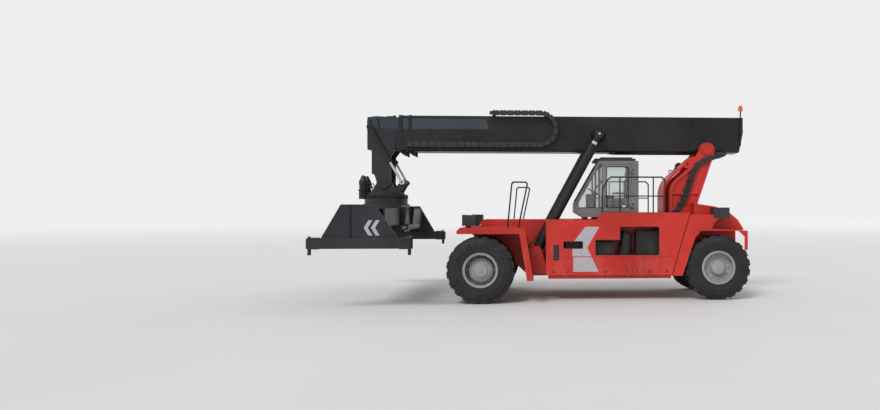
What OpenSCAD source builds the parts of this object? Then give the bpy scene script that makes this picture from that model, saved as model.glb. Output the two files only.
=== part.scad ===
// Reach stacker: a wheeled container handler with a telescopic boom and a top-lift spreader.
// X runs forward, Y to the left and Z up. Stations in the modules are measured from
// the drive axle, and at_origin() moves them so that the origin is under the middle.

/* [Wheels] */
// Distance between the drive axle and the steering axle
wheelbase = 6000; // [5950:10:6100]
// Outer diameter of every tyre
tyre_d = 1650; // [1600:10:1660]
// Width of every tyre
tyre_w = 470; // [440:10:480]
// Depth of the tread between its lugs
tread = 26; // [16:1:30]
// Diameter of the rim flanges
rim_d = 860; // [820:10:880]
// Gap between the tyres of a drive wheel pair
twin_gap = 90; // [80:5:110]
// Width over the drive tyres
drive_w = 4100; // [4060:10:4160]
// Width over the steered tyres
steer_w = 2950; // [2920:10:2960]
// Distance between the two kingpins
kingpin_w = 1840; // [1800:10:1860]

/* [Chassis] */
// Width over the two frame side plates
frame_w = 900; // [860:10:910]
// Thickness of the frame side plates
frame_plate = 40; // [30:5:50]
// Height of the frame's top over the ground
frame_top = 2050; // [2000:10:2080]
// Height of the frame's underside between the axles
frame_low = 560; // [520:10:620]
// Width over the body sides
body_w = 3000; // [2990:10:3060]
// Height of the deck beside the cab
deck_z = 2230; // [2200:10:2260]
// Lower edge of the body sides
panel_low = 650; // [630:10:680]
// Thickness of body panels and fenders
skin = 20; // [15:1:30]
// Height of the fender tops over the drive wheels
fender_z = 1860; // [1800:10:1900]
// Top of the counterweight over the ground
weight_top = 2470; // [2400:10:2500]
// Height of the rear fenders' flat top
shoulder_z = 2180; // [2150:10:2200]

/* [Cab] */
// Width of the cab
cab_w = 1200; // [1160:10:1220]
// Cab floor level's underside over the ground
cab_z = 2110; // [2100:5:2150]
// Underside of the cab roof over the ground
cab_roof_z = 3600; // [3560:10:3620]
// Wall thickness of the cab
cab_t = 40; // [30:2:50]
// Length of the cab at its floor
cab_l = 1700; // [1680:10:1720]

/* [Boom] */
// Boom pivot ahead of the steering axle
pivot_fwd = 100; // [60:10:140]
// Boom pivot over the ground
pivot_z = 3900; // [3880:10:3950]
// Width of the outer boom
boom_w = 720; // [700:10:730]
// Height of the outer boom
boom_h = 950; // [930:10:980]
// Wall of both boom sections
boom_wall = 22; // [20:1:26]
// Step where the thinner upper plates of a boom section are welded on
seam_step = 8; // [4:1:10]
// Underside of the outer boom below the pivot axis
boom_drop = 50; // [40:5:60]
// Outer boom from the pivot to its front end
boom_reach = 8170; // [8100:10:8200]
// Outer boom from the pivot to its rear end
boom_tail = 1030; // [1000:10:1060]
// Space between the inner and outer boom at the sides
boom_side_gap = 18; // [14:1:24]
// Space between the inner and outer boom above and below
boom_top_gap = 22; // [16:1:28]

/* [Cylinders] */
// Foot pin of the lift cylinders behind the drive axle
foot_x = -1340; // [-1360:10:-1320]
// Foot pin of the lift cylinders over the ground
foot_z = 1200; // [1180:10:1220]
// Head pin of the lift cylinders ahead of the boom pivot
head_fwd = 2900; // [2880:10:2920]
// Head pin of the lift cylinders over the boom pivot
head_up = 390; // [380:10:400]
// Distance of each lift cylinder from the middle
lift_y = 760; // [755:5:780]
// Outer diameter of the lift cylinder barrels
lift_d = 260; // [240:5:270]
// Diameter of the lift cylinder rods
lift_rod_d = 170; // [150:5:180]
// Outer diameter of the damping cylinder barrels
damp_d = 120; // [110:5:126]
// Diameter of the damping cylinder rods
damp_rod_d = 76; // [60:2:80]

/* [Spreader] */
// Tilt pin and slewing axis ahead of the drive axle
tilt_x = 2670; // [2650:10:2690]
// Tilt pin over the ground
tilt_z = 3070; // [3050:10:3090]
// Diameter of the slewing ring housing
slew_d = 1120; // [1080:10:1140]
// Distance between twistlocks along an end beam
lock_x = 2259; // [2255:1:2262]
// Distance between the twistlocks of the two ends
lock_y = 5853; // [5850:1:5856]
// End beams beyond the twistlocks, lengthwise
lock_over_x = 75.5; // [70:0.5:85]
// End beams beyond the twistlocks, outwards
lock_over_y = 118.5; // [110:0.5:125]
// Width of each telescopic tube of the spreader
tube_w = 480; // [460:10:490]
// Height of each telescopic tube of the spreader
tube_h = 560; // [540:10:570]

/* [Hidden] */
$fn = 64;

// Fits and running gaps
fit = 0.05;
seat = 0.3;
run = 10;
joint_swell = 2;

// Stations that follow from the driving sizes
steer_x = -wheelbase;
axle_z = tyre_d / 2;
pivot_x = steer_x + pivot_fwd;
end_beam_l = lock_x + 2 * lock_over_x;
spread_l = lock_y + 2 * lock_over_y;
front_end = tilt_x + end_beam_l / 2;
rear_end = pivot_x - boom_tail;
shift_x = -(front_end + rear_end) / 2;
boom_z0 = pivot_z - boom_drop;
boom_z1 = boom_z0 + boom_h;
boom_x1 = pivot_x + boom_reach;
boom_mid = (boom_z0 + boom_z1) / 2;
inner_w = boom_w - 2 * boom_wall - 2 * boom_side_gap;
inner_h = boom_h - 2 * boom_wall - 2 * boom_top_gap;
head_x = pivot_x + head_fwd;
head_z = pivot_z + head_up;
lift_len = norm([head_x - foot_x, head_z - foot_z]);
lift_lean = atan2(head_z - foot_z, head_x - foot_x);

red = [0.72, 0.14, 0.11];
dark = [0.13, 0.13, 0.14];
steel = [0.55, 0.56, 0.58];
rubber = [0.06, 0.06, 0.065];
cab_grey = [0.55, 0.55, 0.54];
glass = [0.55, 0.68, 0.72, 0.35];

// Helpers
function around(mid, half) = [mid - half, mid + half];
// Points on an arc in a side view, from one angle to the other
function arc(mid, r, a, n = 6) =
    [for (i = [0:n]) mid + r * [cos(a[0] + (a[1] - a[0]) * i / n), sin(a[0] + (a[1] - a[0]) * i / n)]];
module at_origin() translate([shift_x, 0, 0]) children();
module both_sides() {
    children();
    mirror([0, 1, 0]) children();
}
module block(x, y, z) translate([x[0], y[0], z[0]]) cube([x[1] - x[0], y[1] - y[0], z[1] - z[0]]);
module rod_y(x, z, r, y) translate([x, y[0], z]) rotate([-90, 0, 0]) cylinder(r = r, h = y[1] - y[0]);
module rod_z(x, y, r, z) translate([x, y, z[0]]) cylinder(r = r, h = z[1] - z[0]);
// A side view outline in X and Z, given its thickness across the machine
module slab(y) translate([0, y[1], 0]) rotate([90, 0, 0]) linear_extrude(y[1] - y[0]) children();
module round_rect(w, h, r) {
    square([w - 2 * r, h], center = true);
    square([w, h - 2 * r], center = true);
    for (x = [-1, 1], y = [-1, 1]) translate([x * (w / 2 - r), y * (h / 2 - r)]) circle(r);
}
// A window outline with round corners between two stations in X and two in Z
module window(x, z, r) translate([(x[0] + x[1]) / 2, (z[0] + z[1]) / 2])
    round_rect(x[1] - x[0], z[1] - z[0], r);
// Round bars through a list of points, with a slight swelling at each weld
module bars(points, r) {
    for (i = [0:len(points) - 2]) {
        step = points[i + 1] - points[i];
        flat = norm([step.x, step.y]);
        translate(points[i]) rotate([0, atan2(flat, step.z), atan2(step.y, step.x)])
            cylinder(r = r, h = norm(step), $fn = 16);
    }
    if (len(points) > 2) for (i = [1:len(points) - 2]) translate(points[i]) sphere(r + joint_swell, $fn = 16);
}

// Wheels
bead_r = rim_d / 2 - 30;
rim_wall = 22;
spindle_r = 120;
steer_spindle_r = 90;
drive_out = (drive_w - tyre_w) / 2;
drive_in = drive_out - tyre_w - twin_gap;
steer_y = (steer_w - tyre_w) / 2;
king_y = kingpin_w / 2;
tyre_r = tyre_d / 2;
// Half width between the rim flanges
bead_w = tyre_w / 2 - 25;
lugs = 20;
lug_share = 0.6;
// One shoulder's ring of tread lugs, as an outline seen along the axle
module lug_ring(turn) {
    half = 180 / lugs * lug_share;
    tip = tyre_r / cos(half);
    root = tyre_r - tread - 20;
    difference() {
        polygon([for (i = [0:lugs - 1], p = [[-1, root], [-1, tip], [1, tip], [1, root]])
            let(a = (i + turn) * 360 / lugs - 90 + p[0] * half) p[1] * [cos(a), sin(a)]]);
        circle(root - 20, $fn = 36);
    }
}
module tyre(y) {
    w = tyre_w / 2;
    carcass = tyre_r - tread;
    bead = bead_w - seat;
    translate([0, y, axle_z]) rotate([-90, 0, 0]) rotate_extrude($fn = 36) polygon([
        [bead_r + seat, -bead], [rim_d / 2 + 8, -bead], [bead_r + 190, -w], [tyre_r - 130, -w + 10],
        [carcass, -w + 70], [carcass, w - 70], [tyre_r - 130, w - 10], [bead_r + 190, w],
        [rim_d / 2 + 8, bead], [bead_r + seat, bead]
    ]);
    // Lug rings: half of the tread each, set half a pitch apart
    for (ring = [[-1, 0], [1, 0.5]]) {
        out = y + ring[0] * (w - 45);
        mid = y + ring[0] * 20;
        translate([0, 0, axle_z]) slab([min(out, mid), max(out, mid)]) lug_ring(ring[1]);
    }
}
// A turned body about a wheel's axis, its outline in radius and Y station
module turned_y(points) translate([0, 0, axle_z]) rotate([-90, 0, 0])
    rotate_extrude($fn = 96) polygon(points);
module rim_barrel(y) {
    turned_y([
        [bead_r - rim_wall, y - bead_w], [bead_r, y - bead_w], [bead_r, y + bead_w],
        [bead_r - rim_wall, y + bead_w]
    ]);
    for (s = [-1, 1]) turned_y([
        [bead_r - rim_wall, y + s * bead_w], [rim_d / 2, y + s * bead_w],
        [rim_d / 2, y + s * (bead_w + 18)], [bead_r - rim_wall, y + s * (bead_w + 18)]
    ]);
}
module drive_rims() {
    hub = spindle_r + fit;
    face = drive_out - 90;
    rim_barrel(drive_in);
    rim_barrel(drive_out);
    turned_y([
        [bead_r - rim_wall, drive_in + bead_w], [bead_r - 4, drive_in + bead_w],
        [bead_r - 4, drive_out - bead_w], [bead_r - rim_wall, drive_out - bead_w]
    ]);
    // Hub with its flange, the wheel disc and the planetary gear's stepped cap
    turned_y([
        [hub, drive_in - 120], [230, drive_in - 120], [230, face - 60], [300, face - 40],
        [bead_r - 10, face - 40], [bead_r - 10, face], [330, face], [315, face + 25], [300, face + 25],
        [300, face + 130], [285, face + 150], [250, face + 150], [240, face + 180], [180, face + 190],
        [165, face + 230], [70, face + 240], [60, face + 250], [0, face + 250], [0, face + 110],
        [hub, face + 110]
    ]);
    // Studs on the disc, round the hub
    for (a = [0:360 / 12:359]) translate([0, 0, axle_z]) rotate([0, a, 0])
        rod_y(357, 0, 16, [face - 5, face + 32], $fn = 16);
}
module steer_rim() {
    hub = steer_spindle_r + fit;
    face = steer_y + 75;
    rim_barrel(steer_y);
    turned_y([
        [hub, face - 135], [200, face - 135], [220, face - 55], [bead_r - 10, face - 35],
        [bead_r - 10, face], [230, face], [190, face + 35], [170, face + 105],
        [0, face + 115], [0, face + 55], [hub, face + 55]
    ]);
    for (a = [0:360 / 12:359]) translate([0, 0, axle_z]) rotate([0, a, 0])
        rod_y(280, 0, 16, [face - 5, face + 32], $fn = 16);
}
module drive_tyres_left() at_origin() color(rubber) {
    tyre(drive_in);
    tyre(drive_out);
}
module drive_tyres_right() mirror([0, 1, 0]) drive_tyres_left();
module drive_rims_left() at_origin() color(steel) drive_rims();
module drive_rims_right() mirror([0, 1, 0]) drive_rims_left();
module steer_tyre_left() at_origin() color(rubber) translate([steer_x, 0, 0]) tyre(steer_y);
module steer_tyre_right() mirror([0, 1, 0]) steer_tyre_left();
module steer_rim_left() at_origin() color(steel) translate([steer_x, 0, 0]) steer_rim();
module steer_rim_right() mirror([0, 1, 0]) steer_rim_left();

// Axles and steering
fork_gap = 150;
fork_t = 70;
king_r = 55;
arm_back = 250;
steer_barrel = 330;
steer_rod_r = 40;
module drive_axle() at_origin() color(dark) {
    rod_y(0, axle_z, 185, [-drive_in + 240, drive_in - 240]);
    both_sides() {
        rod_y(0, axle_z, spindle_r, [drive_in - 250, drive_out + 10]);
        rod_y(0, axle_z, 235, [drive_in - 290, drive_in - 130]);
        block([-210, 210], [frame_w / 2 - 110, frame_w / 2 + 60], [axle_z, drive_seat]);
    }
    translate([0, 0, axle_z]) sphere(300);
    translate([-60, 0, axle_z]) rotate([0, -90, 0]) cylinder(r1 = 230, r2 = 110, h = 340);
}
module steer_axle() at_origin() color(dark) translate([steer_x, 0, 0]) {
    beam = king_y - 150;
    // The ends are cut back behind, where the knuckles' arms swing in
    block([-140, 140], around(0, beam - 140), around(axle_z, 140));
    both_sides() block([-30, 140], [beam - 141, beam], around(axle_z, 140));
    block([-arm_back + steer_rod_r + 12, 240], around(0, 150), [axle_z - 100, steer_seat]);
    both_sides() for (s = [-1, 1]) difference() {
        union() {
            rod_z(0, king_y, 105, around(axle_z + s * (fork_gap + fork_t / 2), fork_t / 2));
            block([-105, 105], [beam - 60, king_y], around(axle_z + s * (fork_gap + fork_t / 2), fork_t / 2));
            block([-30, 105], [beam - 60, beam + 10], around(axle_z, fork_gap + fork_t));
        }
        rod_z(0, king_y, king_r + fit, around(axle_z, 400));
    }
    // Barrel of the steering cylinder on its brackets, bored for the rod
    difference() {
        union() {
            rod_y(-arm_back, axle_z, 75, around(0, steer_barrel));
            for (y = [-1, 1]) block([-arm_back - 60, -130], around(y * 260, 40), around(axle_z, 60));
        }
        rod_y(-arm_back, axle_z, steer_rod_r + seat, around(0, steer_barrel + 10));
    }
}
module knuckle_left() at_origin() color(steel) translate([steer_x, 0, 0]) {
    rod_z(0, king_y, king_r, around(axle_z, fork_gap + fork_t));
    rod_z(0, king_y, 100, around(axle_z, fork_gap - seat));
    rod_y(0, axle_z, 130, [king_y, steer_y - 70]);
    rod_y(0, axle_z, steer_spindle_r, [steer_y - 80, steer_y + 125]);
    block([-arm_back, 0], [king_y - 60, king_y - 10], [axle_z + 20, axle_z + 60]);
    rod_z(-arm_back, king_y - 40, 45, [axle_z + 20, axle_z + 60]);
}
module knuckle_right() mirror([0, 1, 0]) knuckle_left();
// The double-ended rod of the steering cylinder
module steer_rod() at_origin() color(steel) translate([steer_x, 0, 0]) {
    rod_y(-arm_back, axle_z, steer_rod_r, around(0, king_y - 100));
    both_sides() rod_z(-arm_back, king_y - 100, 45, [axle_z - 45, axle_z + 15]);
}

// Frame
drive_seat = axle_z + 240;
steer_seat = axle_z + 560;
frame_rear = steer_x - 640;
frame_front = 120;
frame_in = frame_w / 2 - frame_plate;
nose_round = 110;
module frame_outline() polygon(concat(
    [[frame_front, drive_seat + 250]],
    arc([frame_front - nose_round, frame_top - nose_round], nose_round, [0, 90]),
    [
        [steer_x + 900, frame_top], [steer_x + 300, frame_top - 100],
        [frame_rear, frame_top - 160], [frame_rear, steer_seat + 60], [frame_rear + 100, steer_seat],
        [steer_x + 700, steer_seat], [steer_x + 1080, frame_low + 200], [steer_x + 1150, frame_low],
        [-1150, frame_low], [-700, drive_seat - 80], [-500, drive_seat], [frame_front - 120, drive_seat]
    ]
));
foot_half = lift_d / 2 + 12;
foot_cheek = 35;
foot_in = lift_y - foot_half;
foot_out = lift_y + foot_half;
foot_pin_r = 80;
foot_back = 330;
module frame() at_origin() color(red) {
    both_sides() {
        slab([frame_in, frame_w / 2]) frame_outline();
        lift_foot();
    }
    // Cross plates between the side plates, from and to in X, bottom and top in Z
    for (p = [
        [frame_front - 60, frame_front - 30, drive_seat + 260, frame_top - nose_round],
        [-1250, -1200, frame_low + 20, frame_top - 40],
        [steer_x + 1300, steer_x + 1350, frame_low + 20, frame_top - 40],
        [frame_rear + 20, frame_rear + 60, steer_seat + 40, frame_top - 180]
    ]) block([p[0], p[1]], [-frame_in, frame_in], [p[2], p[3]]);
    block([steer_x + 1300, frame_front - 250], [-frame_in, frame_in], [frame_top - 40, frame_top]);
    block(around(steer_x, 300), [-frame_in, frame_in], [steer_seat, steer_seat + 30]);
    // Cab mounts and the belly plate under the engine
    for (x = [cab_x0 + 120, cab_x1 - 300], y = [-1, 1])
        rod_z(x, y * (frame_in - 30), 60, [frame_top - 20, cab_z]);
    block([steer_x + 1300, -1250], [-frame_in, frame_in], [frame_low + 20, frame_low + 40]);
}
// Bracket of a lift cylinder's foot: two cheeks with the pin between them
module lift_foot() {
    base = foot_z - 520;
    for (y = [foot_in - foot_cheek, foot_out]) slab([y, y + foot_cheek]) difference() {
        union() {
            translate([foot_x, foot_z]) circle(170);
            polygon([
                [foot_x - 169, foot_z - 20], [foot_x + 169, foot_z - 20], [foot_x + 230, base],
                [foot_x - foot_back, base]
            ]);
        }
        translate([foot_x, foot_z]) circle(foot_pin_r + fit);
    }
    rod_y(foot_x, foot_z, foot_pin_r, [foot_in - foot_cheek - 20, foot_out + foot_cheek + 8]);
    block([foot_x - foot_back, foot_x + 230], [frame_w / 2, foot_out + foot_cheek], [base - 40, base]);
    block([foot_x - foot_back, foot_x - foot_back + 40], [frame_w / 2, foot_out + foot_cheek], [base, base + 320]);
}

// Fenders over the drive wheels, with the slanted guards behind the tyres
module front_fenders() at_origin() color(red) both_sides() {
    y0 = frame_w / 2;
    y1 = drive_w / 2 + 10;
    top = fender_z;
    lip = top - 150;
    guard_low = 560;
    guard_in = drive_in - tyre_w / 2 - 10;
    block([-930, 500], [y0, y1], [top - skin, top]);
    slab([y0, y1]) polygon([[490, top], [500, top], [580, lip + 60], [560, lip], [545, lip], [565, lip + 60], [490, top - skin]]);
    slab([y1 - skin, y1]) polygon(concat(
        [[500, top], [580, lip + 60], [560, lip], [-945, lip]],
        [[-1135, guard_low], [-1290, guard_low]],
        arc([-1010, top - 80], 80, [180, 90], 4)
    ));
    // Guard plates in front of and behind the slanted post
    for (g = [[-945, -1135], [-1075, -1275]]) slab([guard_in, y1]) polygon([
        [g[0], lip], [g[1], guard_low], [g[1] - 16, guard_low], [g[0] - 16, lip]
    ]);
    slab([frame_w / 2, frame_w / 2 + skin]) polygon([
        [500, top - skin], [frame_front - 60, top - 500], [-400, top - 500], [-900, top - skin]
    ]);
    for (x = [-700, -100]) block([x, x + skin], [y0, y1 - skin], [top - 90, top - skin]);
}

// Body sides with their openings, and the tanks behind them
box_in = 950;
box_x0 = steer_x + 1060;
box_x1 = -1600;
deck_x = steer_x + 2970;
lean_x = [steer_x + 750, steer_x + 1208];
module body_outline(t) polygon([
    [lean_x[1] + t, panel_low + t], [lean_x[0] + t, deck_z - t], [deck_x - t / 2, deck_z - t],
    [deck_x + 120 - t / 2, frame_top - t], [box_x1 + 60 - t, frame_top - t], [box_x1 - t, frame_top - 60 - t],
    [box_x1 - t, panel_low + t]
]);
// Openings of the body side and slots of the steps: from and to in X, bottom and top in Z, corner radius
side_windows = [
    [steer_x + 1540, steer_x + 2530, 1160, 1870, 60], [steer_x + 2500, steer_x + 3150, 1160, 1540, 50],
    [steer_x + 3480, steer_x + 3960, 1330, 1500, 40]
];
module side_boxes() at_origin() color(red) both_sides() {
    y1 = body_w / 2;
    difference() {
        slab([box_in, y1]) body_outline(0);
        slab([box_in + skin, y1 - skin]) body_outline(skin);
        slab([y1 - 2 * skin, y1 + 10]) for (w = side_windows)
            window([w[0], w[1]], [w[2], w[3]], w[4]);
        // Hinge line of the lower panels
        block([lean_x[1] - 60, box_x1 + 10], [y1 - 6, y1 + 10], [1110, 1122]);
        for (x = [steer_x + 2200, box_x1 - 700]) block([x, x + 12], [y1 - 6, y1 + 10], [panel_low - 10, 1116]);
    }
    // Floor, sill rail below the panels, and the deck strips beside the tower and the cab
    block([box_x0, foot_x - foot_back - run], [frame_w / 2, box_in], [panel_low, panel_low + skin]);
    block([box_x0 + 160, box_x1 - 60], [box_in + 40, y1 - 60], [panel_low - 90, panel_low]);
    block([lean_x[0] + 100, cab_x0 - 40], [tower_out + run, box_in], [deck_z - 60, deck_z - 30]);
    block([cab_x0 - 20, box_x1 - 1000], [frame_w / 2, box_in], [frame_top - 60, frame_top - 40]);
}
module tanks() at_origin() color(dark) both_sides() {
    base = panel_low + skin;
    y0 = box_in + 60;
    block([box_x0 + 185, box_x0 + 1040], [y0, body_w / 2 - 160], [base, 1760]);
    rod_z(box_x0 + 1300, y0 + 230, 150, [base, 1700]);
    rod_z(box_x0 + 1300, y0 + 230, 100, [base, 1760]);
    block([box_x0 + 1590, -2100], [y0, body_w / 2 - 130], [base, 1480]);
    // Filler neck and valve block at the front of the box
    rod_z(-2300, y0 + 120, 60, [1480, 1540]);
    block([-1960, -1760], [y0, y0 + 180], [base, 1250]);
}
rail_r = 19;
rail_z = 3130;
module deck_rails() at_origin() color(dark) both_sides() {
    y = body_w / 2 - 50;
    rear = steer_x + 1380;
    front = steer_x + 2850;
    bars([
        [front + 130, y, deck_z], [front + 130, y, deck_z + 580], [front, y, rail_z - 80],
        [front - 90, y, rail_z], [rear + 80, y, rail_z], [rear, y, rail_z - 80], [rear, y, deck_z]
    ], rail_r);
    for (x = [front - 320, rear + 300]) rod_z(x, y, rail_r - 2, [deck_z, rail_z]);
    translate([rear, y, deck_z + 420]) rotate([0, 90, 0]) cylinder(r = rail_r - 4, h = front - rear + 65);
    yf = drive_w / 2 - 60;
    feet = [[-660, yf], [-920, yf - 60]];
    bars([
        [feet[0].x, yf, fender_z + 8], [-760, yf, 2930], [-800, yf, 2975], [-1100, yf, 2975], [-1140, yf, 2930],
        [feet[1].x, feet[1].y, fender_z + 8]
    ], rail_r);
    for (f = feet) rod_z(f.x, f.y, 45, [fender_z, fender_z + 14]);
}
module engine() at_origin() color(dark) {
    rear = steer_x + 1800;
    block([rear, rear + 1750], [-330, 330], [frame_low + 220, 1850]);
    for (x = [rear + 150, rear + 1500])
        block([x, x + 120], [-frame_in + seat, frame_in - seat], [frame_low + 620, frame_low + 740]);
}

// Tower that carries the boom
tower_in = frame_w / 2;
tower_out = 640;
tower_low = tyre_d + 130;
pin_r = 110;
ear_r = 35;
ear = [steer_x + 640, pivot_z - 380];
// The bowed front: straight up, round a bend and then leaning back
tower_front = steer_x + 1270;
brow_r = 686;
brow_mid = [tower_front - brow_r, pivot_z - 1180];
brow_lean = 49.3;
cover_t = 60;
set_back = 155;
function brow(t, low, rise) = concat(
    [[tower_front - t, low]],
    arc(brow_mid, brow_r - t, [0, brow_lean], 8),
    [brow_mid + (brow_r - t) * [cos(brow_lean), sin(brow_lean)] + rise * [-sin(brow_lean), cos(brow_lean)]]
);
// Side plate outline set in by an even margin
module tower_outline(t) polygon(concat(
    brow(set_back + t, max(tower_low, tower_low + 8 * t), 560),
    [
        [steer_x + 530 - t, pivot_z - 300 - t], [steer_x + 390 - t, pivot_z - 145 - 2 * t],
        [pivot_x + 130 - t, pivot_z + 110 - 3 * t], [pivot_x - 185 + t, pivot_z - 100 - t],
        [steer_x + 360 + t, pivot_z - 1400], [steer_x + 420 + t, max(tower_low, tower_low + 8 * t)]
    ]
));
module tower() at_origin() color(red) {
    both_sides() {
        difference() {
            union() {
                slab([tower_in, tower_out]) {
                    tower_outline(0);
                    translate([pivot_x, pivot_z]) circle(190);
                }
                rod_y(pivot_x, pivot_z, 200, [boom_w / 2 + cheek + 8, tower_in]);
                slab([tower_out - 60, tower_out - 20]) {
                    translate(ear) circle(115);
                    polygon([ear + [-60, -98], ear + [40, 107], ear + [-120, 90], ear + [-250, -60]]);
                }
            }
            // Pockets between the flanges, one over and one under the middle rib
            for (cut = [[tower_low + 600, pivot_z - 1180], [pivot_z - 1120, pivot_z - 330]])
                intersection() {
                    slab([tower_out - 45, tower_out + 5]) tower_outline(70);
                    block([steer_x - 400, steer_x + 1600], [0, tower_out + 10], cut);
                }
            rod_y(pivot_x, pivot_z, pin_r + fit, [0, 900]);
            rod_y(ear[0], ear[1], ear_r, [0, 900]);
        }
        rod_y(pivot_x, pivot_z, pin_r, [inner_w / 2 + 10, tower_out + 40]);
        rod_y(pivot_x, pivot_z, 160, [tower_out, tower_out + 30]);
    }
    rod_y(steer_x + 750, pivot_z - 1200, 110, [-tower_in, tower_in]);
    // Bowed cover between the side plates
    slab(around(0, tower_in + 1)) difference() {
        polygon(concat(brow(0, frame_top + seat, 790), [[steer_x + 300, frame_top + seat]]));
        polygon(concat(brow(cover_t, frame_top - 10, 900), [[steer_x + 200, frame_top - 10]]));
    }
}
hose_r = 24;
hose_gap = 62;
// Hydraulic hoses clipped along the outside of the tower
module tower_hoses() at_origin() color(dark) {
    y = tower_out + hose_r + joint_swell + seat;
    both_sides() for (d = [0:2]) let(x = steer_x - d * hose_gap) bars([
        [x + 1040, y, deck_z + 20], [x + 900, y, 2400], [x + 740, y, 2760], [x + 600, y, 3180],
        [x + 440, y, 3480], [x + 250, y, 3640 - d * 20]
    ], hose_r);
}

// Counterweight and the fenders over the steered wheels
weight_rear = steer_x - 740;
weight_front = steer_x + 550;
weight_in = 1080;
module weight_outline() polygon([
    [weight_front, tower_low], [weight_front, weight_top], [steer_x + 10, weight_top - 80],
    [steer_x - 330, weight_top - 200], [steer_x - 600, weight_top - 430], [weight_rear, weight_top - 660],
    [weight_rear, tower_low]
]);
// Round shoulder of a rear fender, from its flat top to the rear
function shoulder(t) = arc([steer_x - 270, shoulder_z - 480], 480 - t, [90, 15], 5);
tail_lamp_x = [steer_x - 270, steer_x + 150];
tail_lamp_y = 1180;
tail_lamp_z = shoulder_z - 90;
tow_r = 30;
// Corner recesses for the rear lamps
module tail_lamp_cut() both_sides()
    block(tail_lamp_x, [tail_lamp_y, body_w / 2 + 10], [tail_lamp_z, shoulder_z + 10]);
module counterweight() at_origin() color(red) difference() {
    union() {
        slab([-weight_in, weight_in]) weight_outline();
        slab([-body_w / 2 + skin, body_w / 2 - skin]) polygon(concat(
            [[weight_rear, tower_low], [weight_front, tower_low], [weight_front, shoulder_z - skin]],
            shoulder(skin)
        ));
        block([weight_rear, frame_rear - 20], [-310, 310], [900, tower_low]);
        block([weight_rear - 120, weight_rear], [-90, 90], [1000, 1200]);
    }
    block([frame_rear - seat, weight_front + 50], around(0, frame_w / 2 + seat), [tower_low - 10, frame_top + seat]);
    block([steer_x + 300, weight_front + 50], around(0, tower_out + seat), [tower_low - 10, weight_top + 10]);
    tail_lamp_cut();
    rod_z(weight_rear - 70, 0, tow_r, [900, 1300]);
    block([weight_rear - 130, weight_rear - 5], [-100, 100], [1070, 1130]);
    // Louvres across the rear face
    for (z = [tower_low + 60:55:tower_low + 240])
        block([weight_rear - 10, weight_rear + 25], [-620, 620], [z, z + 22]);
}
arch_z = 1765;
module rear_fenders() at_origin() color(red) both_sides() difference() {
    union() {
        slab([body_w / 2 - skin, body_w / 2]) polygon(concat(
            [[lean_x[0] - 12, shoulder_z]],
            shoulder(0),
            [
                [weight_rear, arch_z], [weight_rear, 1280], [weight_rear + 80, 1280],
                [weight_rear + 80, arch_z - 145], [steer_x - 500, arch_z], [steer_x + 470, arch_z],
                [steer_x + 610, arch_z - 175], [steer_x + 940, panel_low - 20], [lean_x[1] - 12, panel_low - 20]
            ]
        ));
        // Flange round the arch's front leg
        block([lean_x[0] - 80, lean_x[0] - 20], [box_in, body_w / 2 - skin], [shoulder_z - 60, shoulder_z - 30]);
    }
    tail_lamp_cut();
}
module lamps() at_origin() color(dark) both_sides() {
    // Twin headlamps on the front fenders, each a hooded housing on its foot
    for (y = [1120, 1420]) difference() {
        union() {
            block([200, 480], [y, y + 230], [fender_z + 40, fender_z + 310]);
            block([300, 400], [y + 75, y + 155], [fender_z, fender_z + 40]);
        }
        block([445, 490], [y + 20, y + 210], [fender_z + 60, fender_z + 290]);
    }
    difference() {
        block(tail_lamp_x, [tail_lamp_y, body_w / 2], [tail_lamp_z, tail_lamp_z + 270]);
        for (y = [tail_lamp_y + 20, tail_lamp_y + 170])
            block([tail_lamp_x[0] - 10, tail_lamp_x[0] + 20], [y, y + 130], [tail_lamp_z + 110, tail_lamp_z + 240]);
    }
}

// Cab
cab_y = cab_w / 2;
cab_x0 = steer_x + 1940;
cab_x1 = cab_x0 + cab_l;
door_x0 = cab_x0 + 200;
door_x1 = cab_x0 + 920;
sill = cab_z + 250;
door_low = deck_z + 2 * run;
lintel = cab_roof_z - 90;
screen_low = cab_z + 370;
screen_lean = atan2(640, cab_roof_z - screen_low);
module cab_side() polygon([
    [cab_x0, cab_z], [cab_x1 - 220, cab_z], [cab_x1, cab_z + 130], [cab_x1, screen_low],
    [cab_x1 - 640, cab_roof_z], [cab_x0, cab_roof_z]
]);
module cab_shell() at_origin() color(cab_grey) {
    cab_body();
    cab_hinge_pins();
}
module cab_body() difference() {
    slab([-cab_y, cab_y]) cab_side();
    slab([-cab_y + cab_t, cab_y - cab_t]) polygon([
        [cab_x0 + cab_t, cab_z + cab_t], [cab_x1 - 235, cab_z + cab_t], [cab_x1 - cab_t, cab_z + 150],
        [cab_x1 - cab_t, screen_low - 10], [cab_x1 - 662, cab_roof_z - cab_t], [cab_x0 + cab_t, cab_roof_z - cab_t]
    ]);
    // Door on the left, and panes at the right side, rear and front
    block([door_x0, door_x1], [0, cab_y + 10], [door_low - run, lintel]);
    slab([-cab_y - 10, 0]) window([door_x0, door_x1], [sill, lintel], 40);
    for (y = [[-cab_y - 10, -cab_y + cab_t + 5], [cab_y - cab_t - 5, cab_y + 10]]) slab(y) {
        polygon([
            [cab_x1 - 530, sill], [cab_x1 - 100, sill], [cab_x1 - 100, screen_low + 20],
            [cab_x1 - 530, screen_low + 770]
        ]);
        polygon([
            [cab_x1 - 720, sill], [cab_x1 - 570, sill], [cab_x1 - 570, screen_low + 840],
            [cab_x1 - 680, lintel], [cab_x1 - 720, lintel]
        ]);
    }
    block([cab_x0 - 10, cab_x0 + 100], [-cab_y + 90, cab_y - 90], [sill, lintel]);
    translate([cab_x1, 0, screen_low]) rotate([0, -screen_lean, 0])
        translate([-200, -cab_y + 80, 60]) cube([400, cab_w - 160, 1120]);
}
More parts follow.
